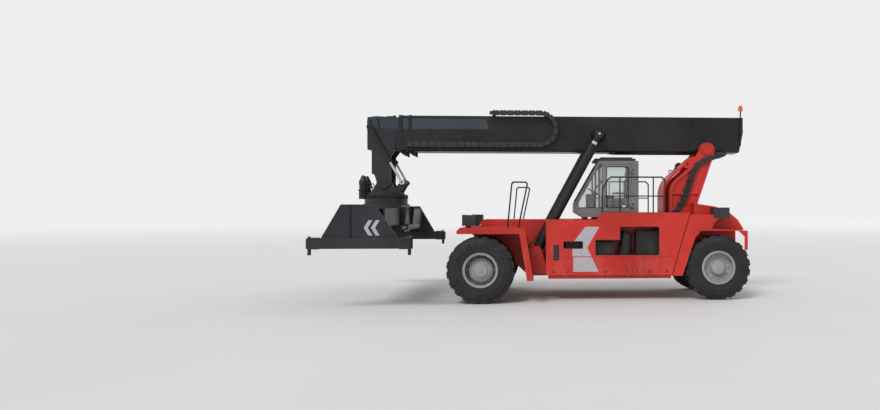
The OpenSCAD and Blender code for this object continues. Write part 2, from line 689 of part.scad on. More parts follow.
module cab_roof() at_origin() color(dark) {
    block([cab_x0 + 80, cab_x1 - 540], [-cab_y, cab_y], [cab_roof_z, cab_roof_z + 60]);
    block([cab_x0 + 160, cab_x1 - 700], [-cab_y + 90, cab_y - 90], [cab_roof_z + 60, cab_roof_z + 100]);
}
module cab_glass() at_origin() color(glass) {
    block([door_x0 - 15, door_x1 + 15], [-cab_y + cab_t, -cab_y + cab_t + 6], [sill - 10, lintel + 10]);
    block([cab_x0 + cab_t, cab_x0 + cab_t + 6], [-cab_y + 80, cab_y - 80], [sill - 10, lintel + 10]);
}
module cab_seat() at_origin() color(dark) {
    floor_z = cab_z + cab_t;
    x = cab_x0 + 360;
    block([x, x + 250], [-150, 150], [floor_z, cab_z + 380]);
    block([x - 100, x + 400], [-250, 250], [cab_z + 380, cab_z + 500]);
    block([x - 160, x - 40], [-240, 240], [cab_z + 500, cab_z + 1050]);
    block([x - 150, x - 60], [-140, 140], [cab_z + 1050, cab_z + 1230]);
    for (y = [-1, 1]) block([x - 60, x + 280], around(y * (240 + seat + 25), 25), [cab_z + 620, cab_z + 670]);
}
module cab_console() at_origin() color(dark) {
    x = cab_x0 + 1160;
    block([x, x + 200], [-120, 120], [cab_z + cab_t, cab_z + 620]);
    translate([x + 60, 0, cab_z + 560]) rotate([0, -30, 0]) {
        cylinder(r = 30, h = 160);
        translate([0, 0, 140]) rotate_extrude() translate([175, 0]) circle(14, $fn = 16);
        translate([0, 0, 132]) cylinder(r = 45, h = 20);
        for (a = [0, 120, 240]) rotate(a) translate([30, -12, 134]) cube([145, 24, 12]);
    }
    block([x - 600, x - 250], [-420, -300], [cab_z + cab_t, cab_z + 560]);
}
// Door hinges: pins on the shell's rear post carry eyes on the door
hinge_z = [cab_z + 250, cab_roof_z - 330];
hinge_r = 12;
eye_r = 22;
hinge_y = cab_y + eye_r + 4;
module cab_hinge_pins() for (z = hinge_z) {
    rod_z(door_x0, hinge_y, hinge_r, [z, z + 130]);
    for (dz = [0, 110]) {
        block([door_x0 - 60, door_x0 - 2], [cab_y - 5, hinge_y + hinge_r], [z + dz, z + dz + 20]);
        block([door_x0 - 2, door_x0 + hinge_r], [cab_y + 4, hinge_y + hinge_r], [z + dz, z + dz + 20]);
    }
}
module cab_door() at_origin() color(cab_grey) difference() {
    union() {
        block([door_x0 + 8, door_x1 - 8], [cab_y - cab_t, cab_y], [door_low, lintel - 8]);
        for (z = hinge_z) {
            rod_z(door_x0, hinge_y, eye_r, [z + 25, z + 105]);
            block([door_x0 + 12, door_x0 + 50], [cab_y - 1, hinge_y + 8], [z + 25, z + 105]);
            block([door_x0, door_x0 + 14], [cab_y + 8, hinge_y + 8], [z + 25, z + 105]);
        }
        // Grab handle near the free edge
        for (z = [sill + 40, sill + 300]) block([door_x1 - 50, door_x1 - 30], [cab_y - 1, cab_y + 40], [z, z + 20]);
        block([door_x1 - 50, door_x1 - 30], [cab_y + 25, cab_y + 40], [sill + 40, sill + 320]);
    }
    slab([0, cab_y + 10]) window([door_x0 + 70, door_x1 - 70], [sill, lintel - 70], 40);
    for (z = hinge_z) rod_z(door_x0, hinge_y, hinge_r + fit, [z, z + 130]);
}
module door_glass() at_origin() color(glass)
    block([door_x0 + 60, door_x1 - 60], [cab_y - cab_t - 6, cab_y - cab_t], [sill - 10, lintel - 60]);

// Outer boom
cheek = 40;
seam_z = boom_mid + 110;
corner_r = 50;
pad_l = 220;
collar_t = 14;
// Box section of thick lower plates and thinner upper ones, welded at the seam
module boom_section(w, h, x, wall) translate([x[0], 0, boom_mid]) rotate([90, 0, 90])
    linear_extrude(x[1] - x[0]) difference() {
        intersection() {
            round_rect(w, h, corner_r);
            union() {
                translate([-w / 2, -h / 2]) square([w, seam_z - boom_mid + h / 2]);
                translate([-w / 2 + seam_step, 0]) square([w - 2 * seam_step, h]);
            }
        }
        round_rect(w - 2 * wall, h - 2 * wall, corner_r - wall);
    }
module outer_boom() at_origin() color(dark) {
    side = boom_w / 2;
    difference() {
        union() {
            boom_section(boom_w, boom_h, [rear_end, boom_x1], boom_wall);
            both_sides() {
                // Cheek plate at the pivot
                slab([side - seam_step - 1, side + cheek]) polygon(concat(
                    [[pivot_x + 450, boom_z0 + 60], [pivot_x + 340, boom_z1 - 60], [pivot_x - 290, boom_z1 - 60]],
                    arc([pivot_x - 300, boom_z0 + 320], 260, [170, 270], 5)
                ));
                // Doubler and boss at the lift cylinder's head
                slab([side - seam_step - 1, side + 16]) polygon(concat(
                    [[head_x + 620, boom_z0 + 60], [head_x + 330, head_z + 250]],
                    arc([head_x - 150, head_z], 250, [90, 180], 4),
                    [[head_x - 520, boom_z0 + 60]]
                ));
                translate([head_x, side, head_z]) rotate([-90, 0, 0])
                    cylinder(r1 = 195, r2 = 130, h = head_in - seat - side);
                // Lugs under the mouth
                for (x = [boom_x1 - 180, boom_x1 - 400]) slab([side - 160, side - 120]) polygon([
                    [x, boom_z0 + 10], [x + 210, boom_z0 + 10], [x + 30, boom_z0 - 120], [x, boom_z0 - 120]
                ]);
            }
            // Collar round the mouth
            boom_collar([boom_x1 - 90, boom_x1]);
            boom_collar([boom_x1 - 320, boom_x1 - 260]);
        }
        both_sides() rod_y(pivot_x, pivot_z, pin_r + fit, [side - 50, 500]);
        // The rear end leans in below
        slab([-boom_w, boom_w]) polygon([
            [rear_end - 10, boom_mid + 60], [rear_end, boom_mid + 60], [rear_end + 110, boom_z0 - 10],
            [rear_end - 10, boom_z0 - 10]
        ]);
    }
    // Rear end plate
    slab(around(0, side - boom_wall + 1)) polygon([
        [rear_end + 60, boom_z1 - boom_wall + 1], [rear_end + 60, boom_mid], [rear_end + 170, boom_z0 + boom_wall - 1],
        [rear_end + 185, boom_z0 + boom_wall - 1], [rear_end + 75, boom_mid], [rear_end + 75, boom_z1 - boom_wall + 1]
    ]);
    // Wear pads at the mouth
    for (z = [boom_mid - inner_h / 2 - boom_top_gap, boom_mid + inner_h / 2 + seat])
        block([boom_x1 - pad_l, boom_x1], around(0, inner_w / 2 - 80), [z, z + boom_top_gap - seat]);
    both_sides() block(
        [boom_x1 - pad_l, boom_x1], [inner_w / 2 + seat, side - boom_wall],
        around(boom_mid, inner_h / 2 - 90)
    );
}
module boom_collar(x) translate([x[0], 0, boom_mid]) rotate([90, 0, 90]) linear_extrude(x[1] - x[0]) difference() {
    round_rect(boom_w + 2 * collar_t, boom_h + 2 * collar_t, corner_r);
    round_rect(boom_w - boom_wall, boom_h - boom_wall, corner_r - boom_wall / 2);
}

// Energy chain: its lower run lies on a tray, bends and comes back over the boom's side
link_pitch = 190;
link_gap = 26;
chain_w = 130;
chain_h = 120;
chain_r = 420;
chain_y = boom_w / 2 + 20;
chain_front = boom_x1 - 220;
chain_bend = boom_x1 - 3720;
chain_end = boom_x1 - 2370;
chain_low = boom_mid - 295;
lower_run = chain_front - chain_bend;
chain_turn = PI * chain_r;
chain_l = lower_run + chain_turn + chain_end - chain_bend;
// Station, height and direction of travel at a length along the chain
function chain_at(s) =
    s < lower_run ? [chain_front - s, chain_low, 180] :
    s < lower_run + chain_turn ? let(a = (s - lower_run) / chain_r * 180 / PI)
        [chain_bend - chain_r * sin(a), chain_low + chain_r * (1 - cos(a)), 180 - a] :
    [chain_bend + s - lower_run - chain_turn, chain_low + 2 * chain_r, 0];
module energy_chain() at_origin() color(dark) {
    mid_y = chain_y + chain_w / 2;
    band = chain_h / 2 - 18;
    for (i = [0:floor(chain_l / link_pitch) - 1]) let(p = chain_at((i + 0.5) * link_pitch))
        translate([p[0], mid_y, p[1]]) rotate([0, -p[2], 0])
            cube([link_pitch - link_gap, chain_w, chain_h], center = true);
    // Inner band of hoses that the links hold
    slab(around(mid_y, chain_w / 2 - 16)) {
        difference() {
            translate([chain_bend, chain_low + chain_r]) circle(chain_r + band);
            translate([chain_bend, chain_low + chain_r]) circle(chain_r - band);
            translate([chain_bend, chain_low - chain_r]) square([2 * chain_r, 4 * chain_r]);
        }
        translate([chain_bend - 1, chain_low - band]) square([lower_run - 20, 2 * band]);
        translate([chain_bend - 1, chain_low + 2 * chain_r - band]) square([chain_end - chain_bend - 20, 2 * band]);
    }
    // Tray with its brackets, and the arm that holds the upper end
    tray = chain_low - chain_h / 2;
    block([chain_bend - 150, chain_front + 40], [chain_y - 6, chain_y + chain_w + 6], [tray - 10, tray]);
    for (x = [chain_bend, chain_bend + 1100, chain_bend + 2200, chain_front - 30])
        block([x, x + 70], [boom_w / 2, chain_y], [tray - 60, tray]);
    block([chain_end - 170, chain_end - 90], [boom_w / 2 - 120, chain_y + 30], [boom_z1, boom_z1 + 50]);
}
module beacon_mast() at_origin() color(dark) {
    x = rear_end + 80;
    y = boom_w / 2 + 45;
    rod_z(x, y, 18, [boom_z0 + 180, boom_z1 + 170]);
    for (foot = [[boom_w / 2, boom_z0 + 300], [boom_w / 2 - seam_step, boom_z1 - 250]])
        block([x - 30, x + 30], [foot[0], y], [foot[1], foot[1] + 50]);
}
module beacon_lamp() at_origin() color([0.95, 0.55, 0.1])
    translate([rear_end + 80, boom_w / 2 + 45, boom_z1 + 170]) rotate_extrude() polygon([
        [0, 0], [75, 0], [75, 25], [62, 30], [58, 100], [40, 140], [0, 150]
    ]);

// Inner boom with its nose
inner_rear = pivot_x + 200;
nose_x = tilt_x + 430;
damp_head = [tilt_x + 340, tilt_z + 1410];
damp_eye = [tilt_x - 490, tilt_z - 40];
damp_y = 430;
tilt_r = 70;
nose_in = 300;
nose_plate = 45;
module inner_boom() at_origin() color(dark) {
    side = inner_w / 2;
    boom_section(inner_w, inner_h, [inner_rear, nose_x], boom_wall);
    difference() {
        both_sides() slab([nose_in, nose_in + nose_plate]) {
            translate([tilt_x, tilt_z]) circle(190);
            polygon([
                [tilt_x - 190, tilt_z], [tilt_x + 190, tilt_z], [tilt_x + 240, tilt_z + 150],
                [tilt_x + 310, tilt_z + 190], [tilt_x + 310, boom_mid + 60], [tilt_x - 310, boom_mid + 60],
                [tilt_x - 310, tilt_z + 800], [tilt_x - 190, tilt_z + 640]
            ]);
        }
        rod_y(tilt_x, tilt_z, tilt_r + fit, [-400, 400]);
        translate([inner_rear, 0, boom_mid]) rotate([90, 0, 90]) linear_extrude(nose_x - inner_rear)
            round_rect(inner_w - 2 * boom_wall, inner_h - 2 * boom_wall, corner_r - boom_wall);
    }
    // Front and rear webs between the drop plates
    block([tilt_x + 280, tilt_x + 310], [-nose_in, nose_in], [tilt_z + 260, boom_mid - inner_h / 2 + 5]);
    block([tilt_x - 280, tilt_x - 255], [-nose_in, nose_in], [tilt_z + 820, boom_mid - inner_h / 2 + 5]);
    // Head plates that carry the damping cylinders
    both_sides() {
        slab([side - seam_step - 1, side + 26]) polygon(concat(
            [[nose_x - 330, boom_mid + 60], [nose_x - 20, boom_mid + 40], [nose_x, boom_mid + 90]],
            arc([nose_x - 60, boom_mid + 330], 60, [0, 90], 3),
            [[nose_x - 260, boom_mid + 390]]
        ));
        rod_y(damp_head[0], damp_head[1], 55, [side - 1, damp_y - 66]);
        rod_y(damp_head[0], damp_head[1] + 160, 40, [side - 1, side + 60]);
    }
    // Wear pads at the rear end
    for (z = [boom_mid - inner_h / 2 - boom_top_gap + seat, boom_mid + inner_h / 2])
        block([inner_rear, inner_rear + pad_l], around(0, side - 80), [z, z + boom_top_gap - seat]);
    both_sides() block(
        [inner_rear, inner_rear + pad_l], [side, side + boom_side_gap - seat],
        [boom_mid - inner_h / 2 + 90, seam_z - 10]
    );
}

// Lift cylinders along their own axis from the foot pin
head_in = lift_y - 95;
module along_lift() both_sides() translate([foot_x, lift_y, foot_z]) rotate([0, -lift_lean + 90, 0]) children();
// A round eye across the cylinder's axis at a length along it
module eye(s, r, half) translate([0, half, s]) rotate([90, 0, 0]) cylinder(r = r, h = 2 * half);
gland = lift_len - 320;
pipe_x = lift_d / 2 + 24;
module lift_barrels() at_origin() color(dark) along_lift() difference() {
    union() {
        translate([0, 0, 60]) cylinder(d = lift_d, h = gland - 60);
        translate([0, 0, gland - 130]) cylinder(d = lift_d + 20, h = 130);
        translate([0, 0, 170]) cylinder(d = lift_d + 16, h = 60);
        eye(0, 140, foot_half - seat);
        // Feed pipe along the barrel, in its clamps
        translate([pipe_x, 0, 260]) cylinder(r = 17, h = gland - 340, $fn = 16);
        for (s = [260, gland / 2, gland - 130]) translate([0, -30, s]) cube([pipe_x + 24, 60, 50]);
    }
    translate([0, 0, 200]) cylinder(d = lift_rod_d + 2 * seat, h = gland);
    eye(0, foot_pin_r + fit, 200);
}
module lift_rods() at_origin() color(steel) along_lift() {
    translate([0, 0, 210]) cylinder(d = lift_rod_d, h = lift_len - 210);
    eye(lift_len, 118, lift_y - head_in);
    // Pin cap on the outer side
    translate([0, lift_y - head_in + 30, lift_len]) rotate([90, 0, 0]) cylinder(r = 75, h = lift_y - head_in);
}

// Damping cylinders between the boom nose and the yoke
damp_len = norm(damp_head - damp_eye);
damp_lean = atan2(damp_eye[1] - damp_head[1], damp_eye[0] - damp_head[0]);
module along_damp() both_sides() translate([damp_head[0], damp_y, damp_head[1]])
    rotate([0, -damp_lean + 90, 0]) children();
module damping_barrels() at_origin() color(dark) along_damp() difference() {
    union() {
        cylinder(d = damp_d, h = 1060);
        translate([0, 0, 1000]) cylinder(d = damp_d + 16, h = 60);
        eye(0, 75, 50);
    }
    translate([0, 0, 120]) cylinder(d = damp_rod_d + 2 * seat, h = 1000);
}
module damping_rods() at_origin() color(steel) along_damp() {
    translate([0, 0, 640]) cylinder(d = damp_rod_d, h = damp_len - 640);
    eye(damp_len, 65, 50);
}

// Yoke, slewing drive and spreader
slew_top = 2760;
slew_mid = 2590;
slew_low = 2420;
yoke_plate = 50;
motor_at = [560, 220];
motor_r = 110;
motor_top = 3060;
yoke_disc = norm(motor_at) - motor_r - run;
module yoke() at_origin() color(dark) {
    both_sides() {
        slab([nose_in - 100, nose_in - 10]) {
            translate([tilt_x, tilt_z]) circle(170);
            polygon([
                [tilt_x - 170, tilt_z], [tilt_x + 170, tilt_z], [tilt_x + 230, tilt_z - 130],
                [tilt_x + 330, slew_top], [tilt_x - 330, slew_top]
            ]);
        }
        slab([nose_in - 90, nose_in - 40]) polygon(concat(
            arc(damp_eye, 75, [200, 40], 4),
            [[tilt_x - 250, slew_top + 60], [tilt_x - 250, slew_top], [tilt_x - 420, slew_top]]
        ));
    }
    rod_y(tilt_x, tilt_z, tilt_r, [-nose_in - 60, nose_in + 60]);
    both_sides() rod_y(tilt_x, tilt_z, 105, [nose_in + nose_plate + 6, nose_in + 60]);
    rod_y(damp_eye[0], damp_eye[1], 45, [-damp_y + 50 + seat, damp_y - 50 - seat]);
    rod_z(tilt_x, 0, yoke_disc, [slew_top - yoke_plate, slew_top]);
}
module slew_drive() at_origin() color(dark) {
    rod_z(tilt_x, 0, slew_d / 2, [slew_mid + 0.5, slew_top - yoke_plate]);
    // Drive motors: gearbox, flange, motor and domed brake cover
    both_sides() translate([tilt_x + motor_at[0], motor_at[1], 0]) rotate_extrude() polygon([
        [0, slew_mid + 0.5], [motor_r, slew_mid + 0.5], [motor_r, slew_top + 40], [motor_r + 14, slew_top + 40],
        [motor_r + 14, slew_top + 75], [motor_r - 10, slew_top + 75], [motor_r - 10, motor_top - 90],
        [motor_r, motor_top - 90], [motor_r, motor_top], [80, motor_top + 60], [40, motor_top + 150],
        [0, motor_top + 160]
    ]);
}
tube_z0 = 1780;
tube_z1 = tube_z0 + tube_h;
tube_wall = 16;
tube_gap = 30;
beam_y = spread_l / 2;
tube_end = beam_y - 395;
pair_w = 2 * tube_w + tube_gap;
head_half = pair_w / 2 + run;
head_wall = 40;
head_l = 650;
// Side shift cylinder behind the head: its barrel's and rod's stations across the machine
shift_at = [-head_half - head_wall - 90, 1850];
shift_barrel = [-1160, 600];
shift_rod = [-300, 1500];
shift_bore = 35;
module spreader_head() at_origin() color(dark) {
    rod_z(tilt_x, 0, slew_d / 2, [slew_low, slew_mid]);
    rod_z(tilt_x, 0, slew_d / 2 + 40, [slew_low, slew_low + 30]);
    translate([tilt_x, 0, 0]) {
        difference() {
            union() {
                block(around(0, head_half + head_wall), around(0, head_l), [tube_z1 + seat, slew_low]);
                for (m = [0, 1]) mirror([m, 0, 0]) {
                    block([head_half, head_half + head_wall], around(0, head_l), [tube_z0 - 60, tube_z1 + 2]);
                    block([head_half - 120, head_half], around(0, head_l), [tube_z0 - 60, tube_z0 - seat]);
                    // Ribs on the outside of the walls
                    for (y = [-1, 1]) slab(around(y * (head_l - 70), 15)) polygon([
                        [head_half + head_wall - 1, tube_z0 - 60], [head_half + head_wall + 30, tube_z0 - 60],
                        [head_half + head_wall + 110, slew_low - 40], [head_half + head_wall - 1, slew_low - 40]
                    ]);
                }
                for (y = [-560, 160]) block(
                    [shift_at[0] - 30, -head_half - head_wall + 1], [y, y + 60], [shift_at[1] - 70, shift_at[1] + 70]
                );
                translate([shift_at[0], 0, 0]) rod_y(0, shift_at[1], 65, shift_barrel);
            }
            translate([shift_at[0], 0, 0]) rod_y(0, shift_at[1], shift_bore + seat, [shift_barrel[0] + 40, shift_barrel[1] + 10]);
        }
    }
}
module tube_at(side) translate([tilt_x + side * (tube_w + tube_gap) / 2, 0, (tube_z0 + tube_z1) / 2]) children();
module spreader_frame() at_origin() color(dark) {
    for (s = [-1, 1]) tube_at(s) rotate([90, 0, 0]) linear_extrude(2 * tube_end, center = true) difference() {
        square([tube_w, tube_h], center = true);
        square([tube_w - 2 * tube_wall, tube_h - 2 * tube_wall], center = true);
    }
    for (z = [tube_z1 - 60, tube_z0 + 40])
        block(around(tilt_x, tube_gap / 2), [-tube_end, tube_end], [z, z + 20]);
    // Rod of the side shift cylinder with its bracket on the rear tube
    x = tilt_x + shift_at[0];
    rod_y(x, shift_at[1], shift_bore, shift_rod);
    slab([shift_rod[1] - 20, shift_rod[1] + 20]) {
        translate([x, shift_at[1]]) circle(70);
        translate([x, shift_at[1] - 70]) square([tilt_x - pair_w / 2 - x + 5, 140]);
    }
}
beam_z0 = 1410;
beam_z1 = 1640;
end_top = tube_z1 + 80;
lock_r = 40;
module arm_left() at_origin() color(dark) {
    h = tube_h - 2 * tube_wall - 2 * seat;
    half = end_beam_l / 2;
    plate = [beam_y - 130, beam_y - 90];
    corner = beam_z1 - beam_z0;
    tube_at(1) translate([-tube_w / 2 + 40, -tube_end + 150, -h / 2]) cube([tube_w - 80, tube_end - 150 + plate[0], h]);
    translate([tilt_x, 0, 0]) {
        // End plate with its stiffening rib
        slab(plate) polygon([[-870, beam_z1], [-350, end_top], [420, end_top], [870, beam_z1]]);
        block([200, 220], [plate[1] - 1, plate[1] + 45], [beam_z1, end_top - 10]);
        for (s = [-1, 1]) block(
            around(s * 300, 12), [plate[0] - 160, plate[0] + 1], [beam_z1, beam_z1 + 130]
        );
        block(around(0, half - 60), [beam_y - corner - 5, beam_y], [beam_z0, beam_z1]);
        for (s = [-1, 1]) {
            translate([s * (half - corner / 2), beam_y - corner / 2, beam_z0]) cylinder(d = corner, h = corner);
            block(around(s * (half - 60 - corner / 2), corner / 2), [beam_y - corner - 5, beam_y], [beam_z0 - 12, beam_z1 + 20]);
            // Twistlock: shaft and turning head
            rod_z(s * lock_x / 2, lock_y / 2, lock_r, [beam_z0 - 90, beam_z0]);
            block(around(s * lock_x / 2, 28), around(lock_y / 2, 52), [beam_z0 - 150, beam_z0 - 90]);
        }
    }
}
module arm_right() at_origin() translate([2 * tilt_x, 0, 0]) rotate(180) translate([-shift_x, 0, 0]) arm_left();

frame();
front_fenders();
side_boxes();
tanks();
deck_rails();
engine();
tower();
counterweight();
rear_fenders();
lamps();
drive_axle();
steer_axle();
tower_hoses();
cab_shell();
cab_roof();
cab_glass();
cab_seat();
cab_console();
cab_door();
door_glass();
outer_boom();
energy_chain();
beacon_mast();
beacon_lamp();
inner_boom();
lift_barrels();
lift_rods();
damping_barrels();
damping_rods();
yoke();
slew_drive();
spreader_head();
spreader_frame();
arm_left();
arm_right();
drive_tyres_left();
drive_tyres_right();
drive_rims_left();
drive_rims_right();
knuckle_left();
knuckle_right();
steer_tyre_left();
steer_tyre_right();
steer_rim_left();
steer_rim_right();
steer_rod();
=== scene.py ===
"""Looks of a reach stacker: finishes, fittings, hoses, the soft seat, the studio and the camera."""
import logging
import math
from dataclasses import dataclass, field
from enum import Enum
from typing import Callable, Mapping, Sequence

import bmesh
import bpy
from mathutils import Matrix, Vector


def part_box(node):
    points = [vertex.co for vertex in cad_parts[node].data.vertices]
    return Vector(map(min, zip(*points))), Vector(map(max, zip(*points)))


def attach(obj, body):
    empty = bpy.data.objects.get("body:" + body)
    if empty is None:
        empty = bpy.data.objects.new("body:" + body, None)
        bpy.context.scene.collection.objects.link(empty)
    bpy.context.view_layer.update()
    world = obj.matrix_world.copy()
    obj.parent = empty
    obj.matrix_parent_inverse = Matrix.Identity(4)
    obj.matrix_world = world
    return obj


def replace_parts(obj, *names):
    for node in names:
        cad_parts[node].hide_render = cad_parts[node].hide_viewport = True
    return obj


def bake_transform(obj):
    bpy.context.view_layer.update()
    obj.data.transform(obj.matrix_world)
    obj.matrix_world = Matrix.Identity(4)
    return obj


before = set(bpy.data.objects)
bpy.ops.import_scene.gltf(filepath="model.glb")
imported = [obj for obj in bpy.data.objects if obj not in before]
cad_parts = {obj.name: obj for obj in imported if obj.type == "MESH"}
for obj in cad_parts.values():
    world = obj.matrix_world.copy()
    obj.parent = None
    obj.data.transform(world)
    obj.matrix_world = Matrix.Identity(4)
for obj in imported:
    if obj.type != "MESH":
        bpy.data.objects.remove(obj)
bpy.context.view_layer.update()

LOG = logging.getLogger("reach_stacker")
Point = Sequence[float]
Colour = tuple[float, float, float]
# Every station below is measured from the front axle; the frame's origin lies this much further back
SHIFT = 1.5275
SHARP = math.radians(35)
SIDES = (1, -1)
SIDE_WORDS = ((1, "left"), (-1, "right"))
AHEAD, LEFT, UP = (1, 0, 0), (0, 1, 0), (0, 0, 1)
# A weld bead's facets, and how far the painted sheen band's and a sheet's faces stand over their plate; that band is a
# paler strip painted where the booms' upper faces catch the sky light
BEAD = 6
SHEEN_BAND = (0.0003, 0.0014)
SHEET = (0.0003, 0.0015)
# Height of both axles, the steered axle's station, the slewing axis and the lift cylinders' pins
AXLE_Z = 0.825
STEER_X = -6.0
SLEW_X = 2.67
LIFT_FOOT = (-1.34, 0.76, 1.20)
LIFT_HEAD = (-3.00, 0.76, 4.29)


# ---------------------------------------------------------------- shader expressions


@dataclass
class Value:
    """A shader value; an expression on it adds its Math nodes."""

    graph: "Graph"
    socket: bpy.types.NodeSocket

    def _math(self, operation: str, *operands: "Value | float") -> "Value":
        """Adds one Math node with its inputs in order."""
        node = self.graph.add("ShaderNodeMath", {"operation": operation}, dict(enumerate(operands)))
        return Value(self.graph, node.outputs[0])

    def __add__(self, other: "Value | float") -> "Value":
        """Sum."""
        return self._math("ADD", self, other)

    def __radd__(self, other: float) -> "Value":
        """Sum with a number on the left."""
        return self._math("ADD", other, self)

    def __sub__(self, other: "Value | float") -> "Value":
        """Difference."""
        return self._math("SUBTRACT", self, other)

    def __rsub__(self, other: float) -> "Value":
        """Difference from a number."""
        return self._math("SUBTRACT", other, self)

    def __mul__(self, other: "Value | float") -> "Value":
        """Product."""
        return self._math("MULTIPLY", self, other)

    def __rmul__(self, other: float) -> "Value":
        """Product with a number on the left."""
        return self._math("MULTIPLY", other, self)

    def __pow__(self, other: float) -> "Value":
        """Power."""
        return self._math("POWER", self, other)

    def most(self, other: "Value | float") -> "Value":
        """The larger of two values."""
        return self._math("MAXIMUM", self, other)

    def wave(self) -> "Value":
        """The sine of the value."""
        return self._math("SINE", self)

    def step(self, low: float, high: float) -> "Value":
        """Smooth step from 0 to 1.

        Args:
            low: the value that gives 0.
            high: the value that gives 1.

        Returns:
            The stepped value.
        """
        node = self.graph.add(
            "ShaderNodeMapRange", {"interpolation_type": "SMOOTHSTEP"},
            {"Value": self, "From Min": low, "From Max": high},
        )
        return Value(self.graph, node.outputs[0])


@dataclass
class Graph:
    """The node tree of one material or of the world."""

    tree: bpy.types.NodeTree

    def add(
        self, kind: str, settings: Mapping[str, object] | None = None,
        sockets: Mapping[str | int, object] | None = None,
    ) -> bpy.types.Node:
        """Adds a node.

        Args:
            kind: the node's type.
            settings: its own settings, set first.
            sockets: a number, a colour, a vector, a Value or an output for each input.

        Returns:
            The new node.
        """
        node = self.tree.nodes.new(kind)
        for name, setting in (settings or {}).items():
            setattr(node, name, setting)
        self.wire(node, sockets or {})
        return node

    def wire(self, node: bpy.types.Node, sockets: Mapping[str | int, object]) -> None:
        """Sets or links a node's inputs.

        Args:
            node: the node.
            sockets: as for add.
        """
        for name, given in sockets.items():
            given = given.socket if isinstance(given, Value) else given
            if isinstance(given, bpy.types.NodeSocket):
                self.tree.links.new(given, node.inputs[name])
            else:
                node.inputs[name].default_value = given

    def feed(self, **sockets: object) -> None:
        """Sets or links the Principled node's inputs, named with _ for a space."""
        self.wire(self.tree.nodes["Principled BSDF"], {name.replace("_", " "): v for name, v in sockets.items()})

    def place(self) -> bpy.types.NodeSocket:
        """The point in the piece's own frame, in metres."""
        return self.add("ShaderNodeTexCoord").outputs["Object"]

    def scaled(self, scale: Point) -> bpy.types.NodeSocket:
        """The point with each axis stretched by its factor."""
        sockets = {0: self.place(), 1: tuple(scale)}
        return self.add("ShaderNodeVectorMath", {"operation": "MULTIPLY"}, sockets).outputs[0]

    def axis(self, name: str) -> Value:
        """One coordinate of the piece's own frame."""
        return Value(self, self.add("ShaderNodeSeparateXYZ", {}, {0: self.place()}).outputs[name])

    def noise(self, scale: float, detail: float = 3.0, stretch: Point = (1, 1, 1)) -> Value:
        """Cloudy noise from 0 to 1, by cells to the metre, octaves and factors along the axes."""
        sockets = {"Vector": self.scaled(stretch), "Scale": scale, "Detail": detail}
        return Value(self, self.add("ShaderNodeTexNoise", {}, sockets).outputs["Fac"])

    def cells(self, scale: float) -> Value:
        """Distance to the nearest point of a scatter with so many cells to the metre."""
        sockets = {"Vector": self.scaled((1, 1, 1)), "Scale": scale}
        return Value(self, self.add("ShaderNodeTexVoronoi", {}, sockets).outputs["Distance"])

    def colour(self, factor: Value, low: Point, high: object) -> bpy.types.NodeSocket:
        """Mixes two colours or outputs; a factor of 0 gives the first and 1 the second."""
        node = self.add("ShaderNodeMix", {"data_type": "RGBA"}, {0: factor, 6: rgba(low), 7: rgba(high)})
        return node.outputs[2]

    def edges(self, radius: float) -> tuple[Value, bpy.types.NodeSocket]:
        """Finds the outer edges by rounding the normal.

        Args:
            radius: the rounding, in metres.

        Returns:
            A mask that is 1 on an edge, and the rounded normal.
        """
        rounded = self.add("ShaderNodeBevel", {"samples": 4}, {"Radius": radius}).outputs[0]
        flat = self.add("ShaderNodeNewGeometry").outputs["Normal"]
        match = self.add("ShaderNodeVectorMath", {"operation": "DOT_PRODUCT"}, {0: rounded, 1: flat})
        return 1 - Value(self, match.outputs["Value"]).step(0.72, 0.985), rounded

    def bump(
        self, height: Value, distance: float, strength: float, normal: bpy.types.NodeSocket | None = None
    ) -> bpy.types.NodeSocket:
        """Turns a height into a normal.

        Args:
            height: the height, about 0 to 1.
            distance: metres of relief at height 1.
            strength: share of the relief that shows.
            normal: the normal that it is laid on.

        Returns:
            The normal.
        """
        sockets = {"Height": height, "Distance": distance, "Strength": strength}
        if normal is not None:
            sockets["Normal"] = normal
        return self.add("ShaderNodeBump", {}, sockets).outputs[0]


def rgba(colour: object) -> object:
    """A colour with its alpha, or an output as it is."""
    return colour if isinstance(colour, bpy.types.NodeSocket) else (*colour[:3], 1.0)


# ---------------------------------------------------------------- finishes


@dataclass(frozen=True)
class Finish:
    """What every finish has."""

    name: str
    slot: str
    colour: Colour
    roughness: float = 0.5

    def material(self) -> bpy.types.Material:
        """Makes the material once, and then gives the same one.

        Returns:
            The material.
        """
        found = bpy.data.materials.get("finish_" + self.name)
        if found:
            return found
        made = bpy.data.materials.new("finish_" + self.name)
        made.use_nodes = True
        graph = Graph(made.node_tree)
        graph.feed(Base_Color=rgba(self.colour), Roughness=self.roughness)
        self.dress(graph)
        return made

    def shade(self, factor: float, lift: float = 0.0) -> Colour:
        """The finish's colour, darker or paler."""
        return tuple(min(1.0, c * factor + lift) for c in self.colour)

    def dress(self, graph: Graph) -> None:
        """Adds what varies over the surface."""
        raise NotImplementedError


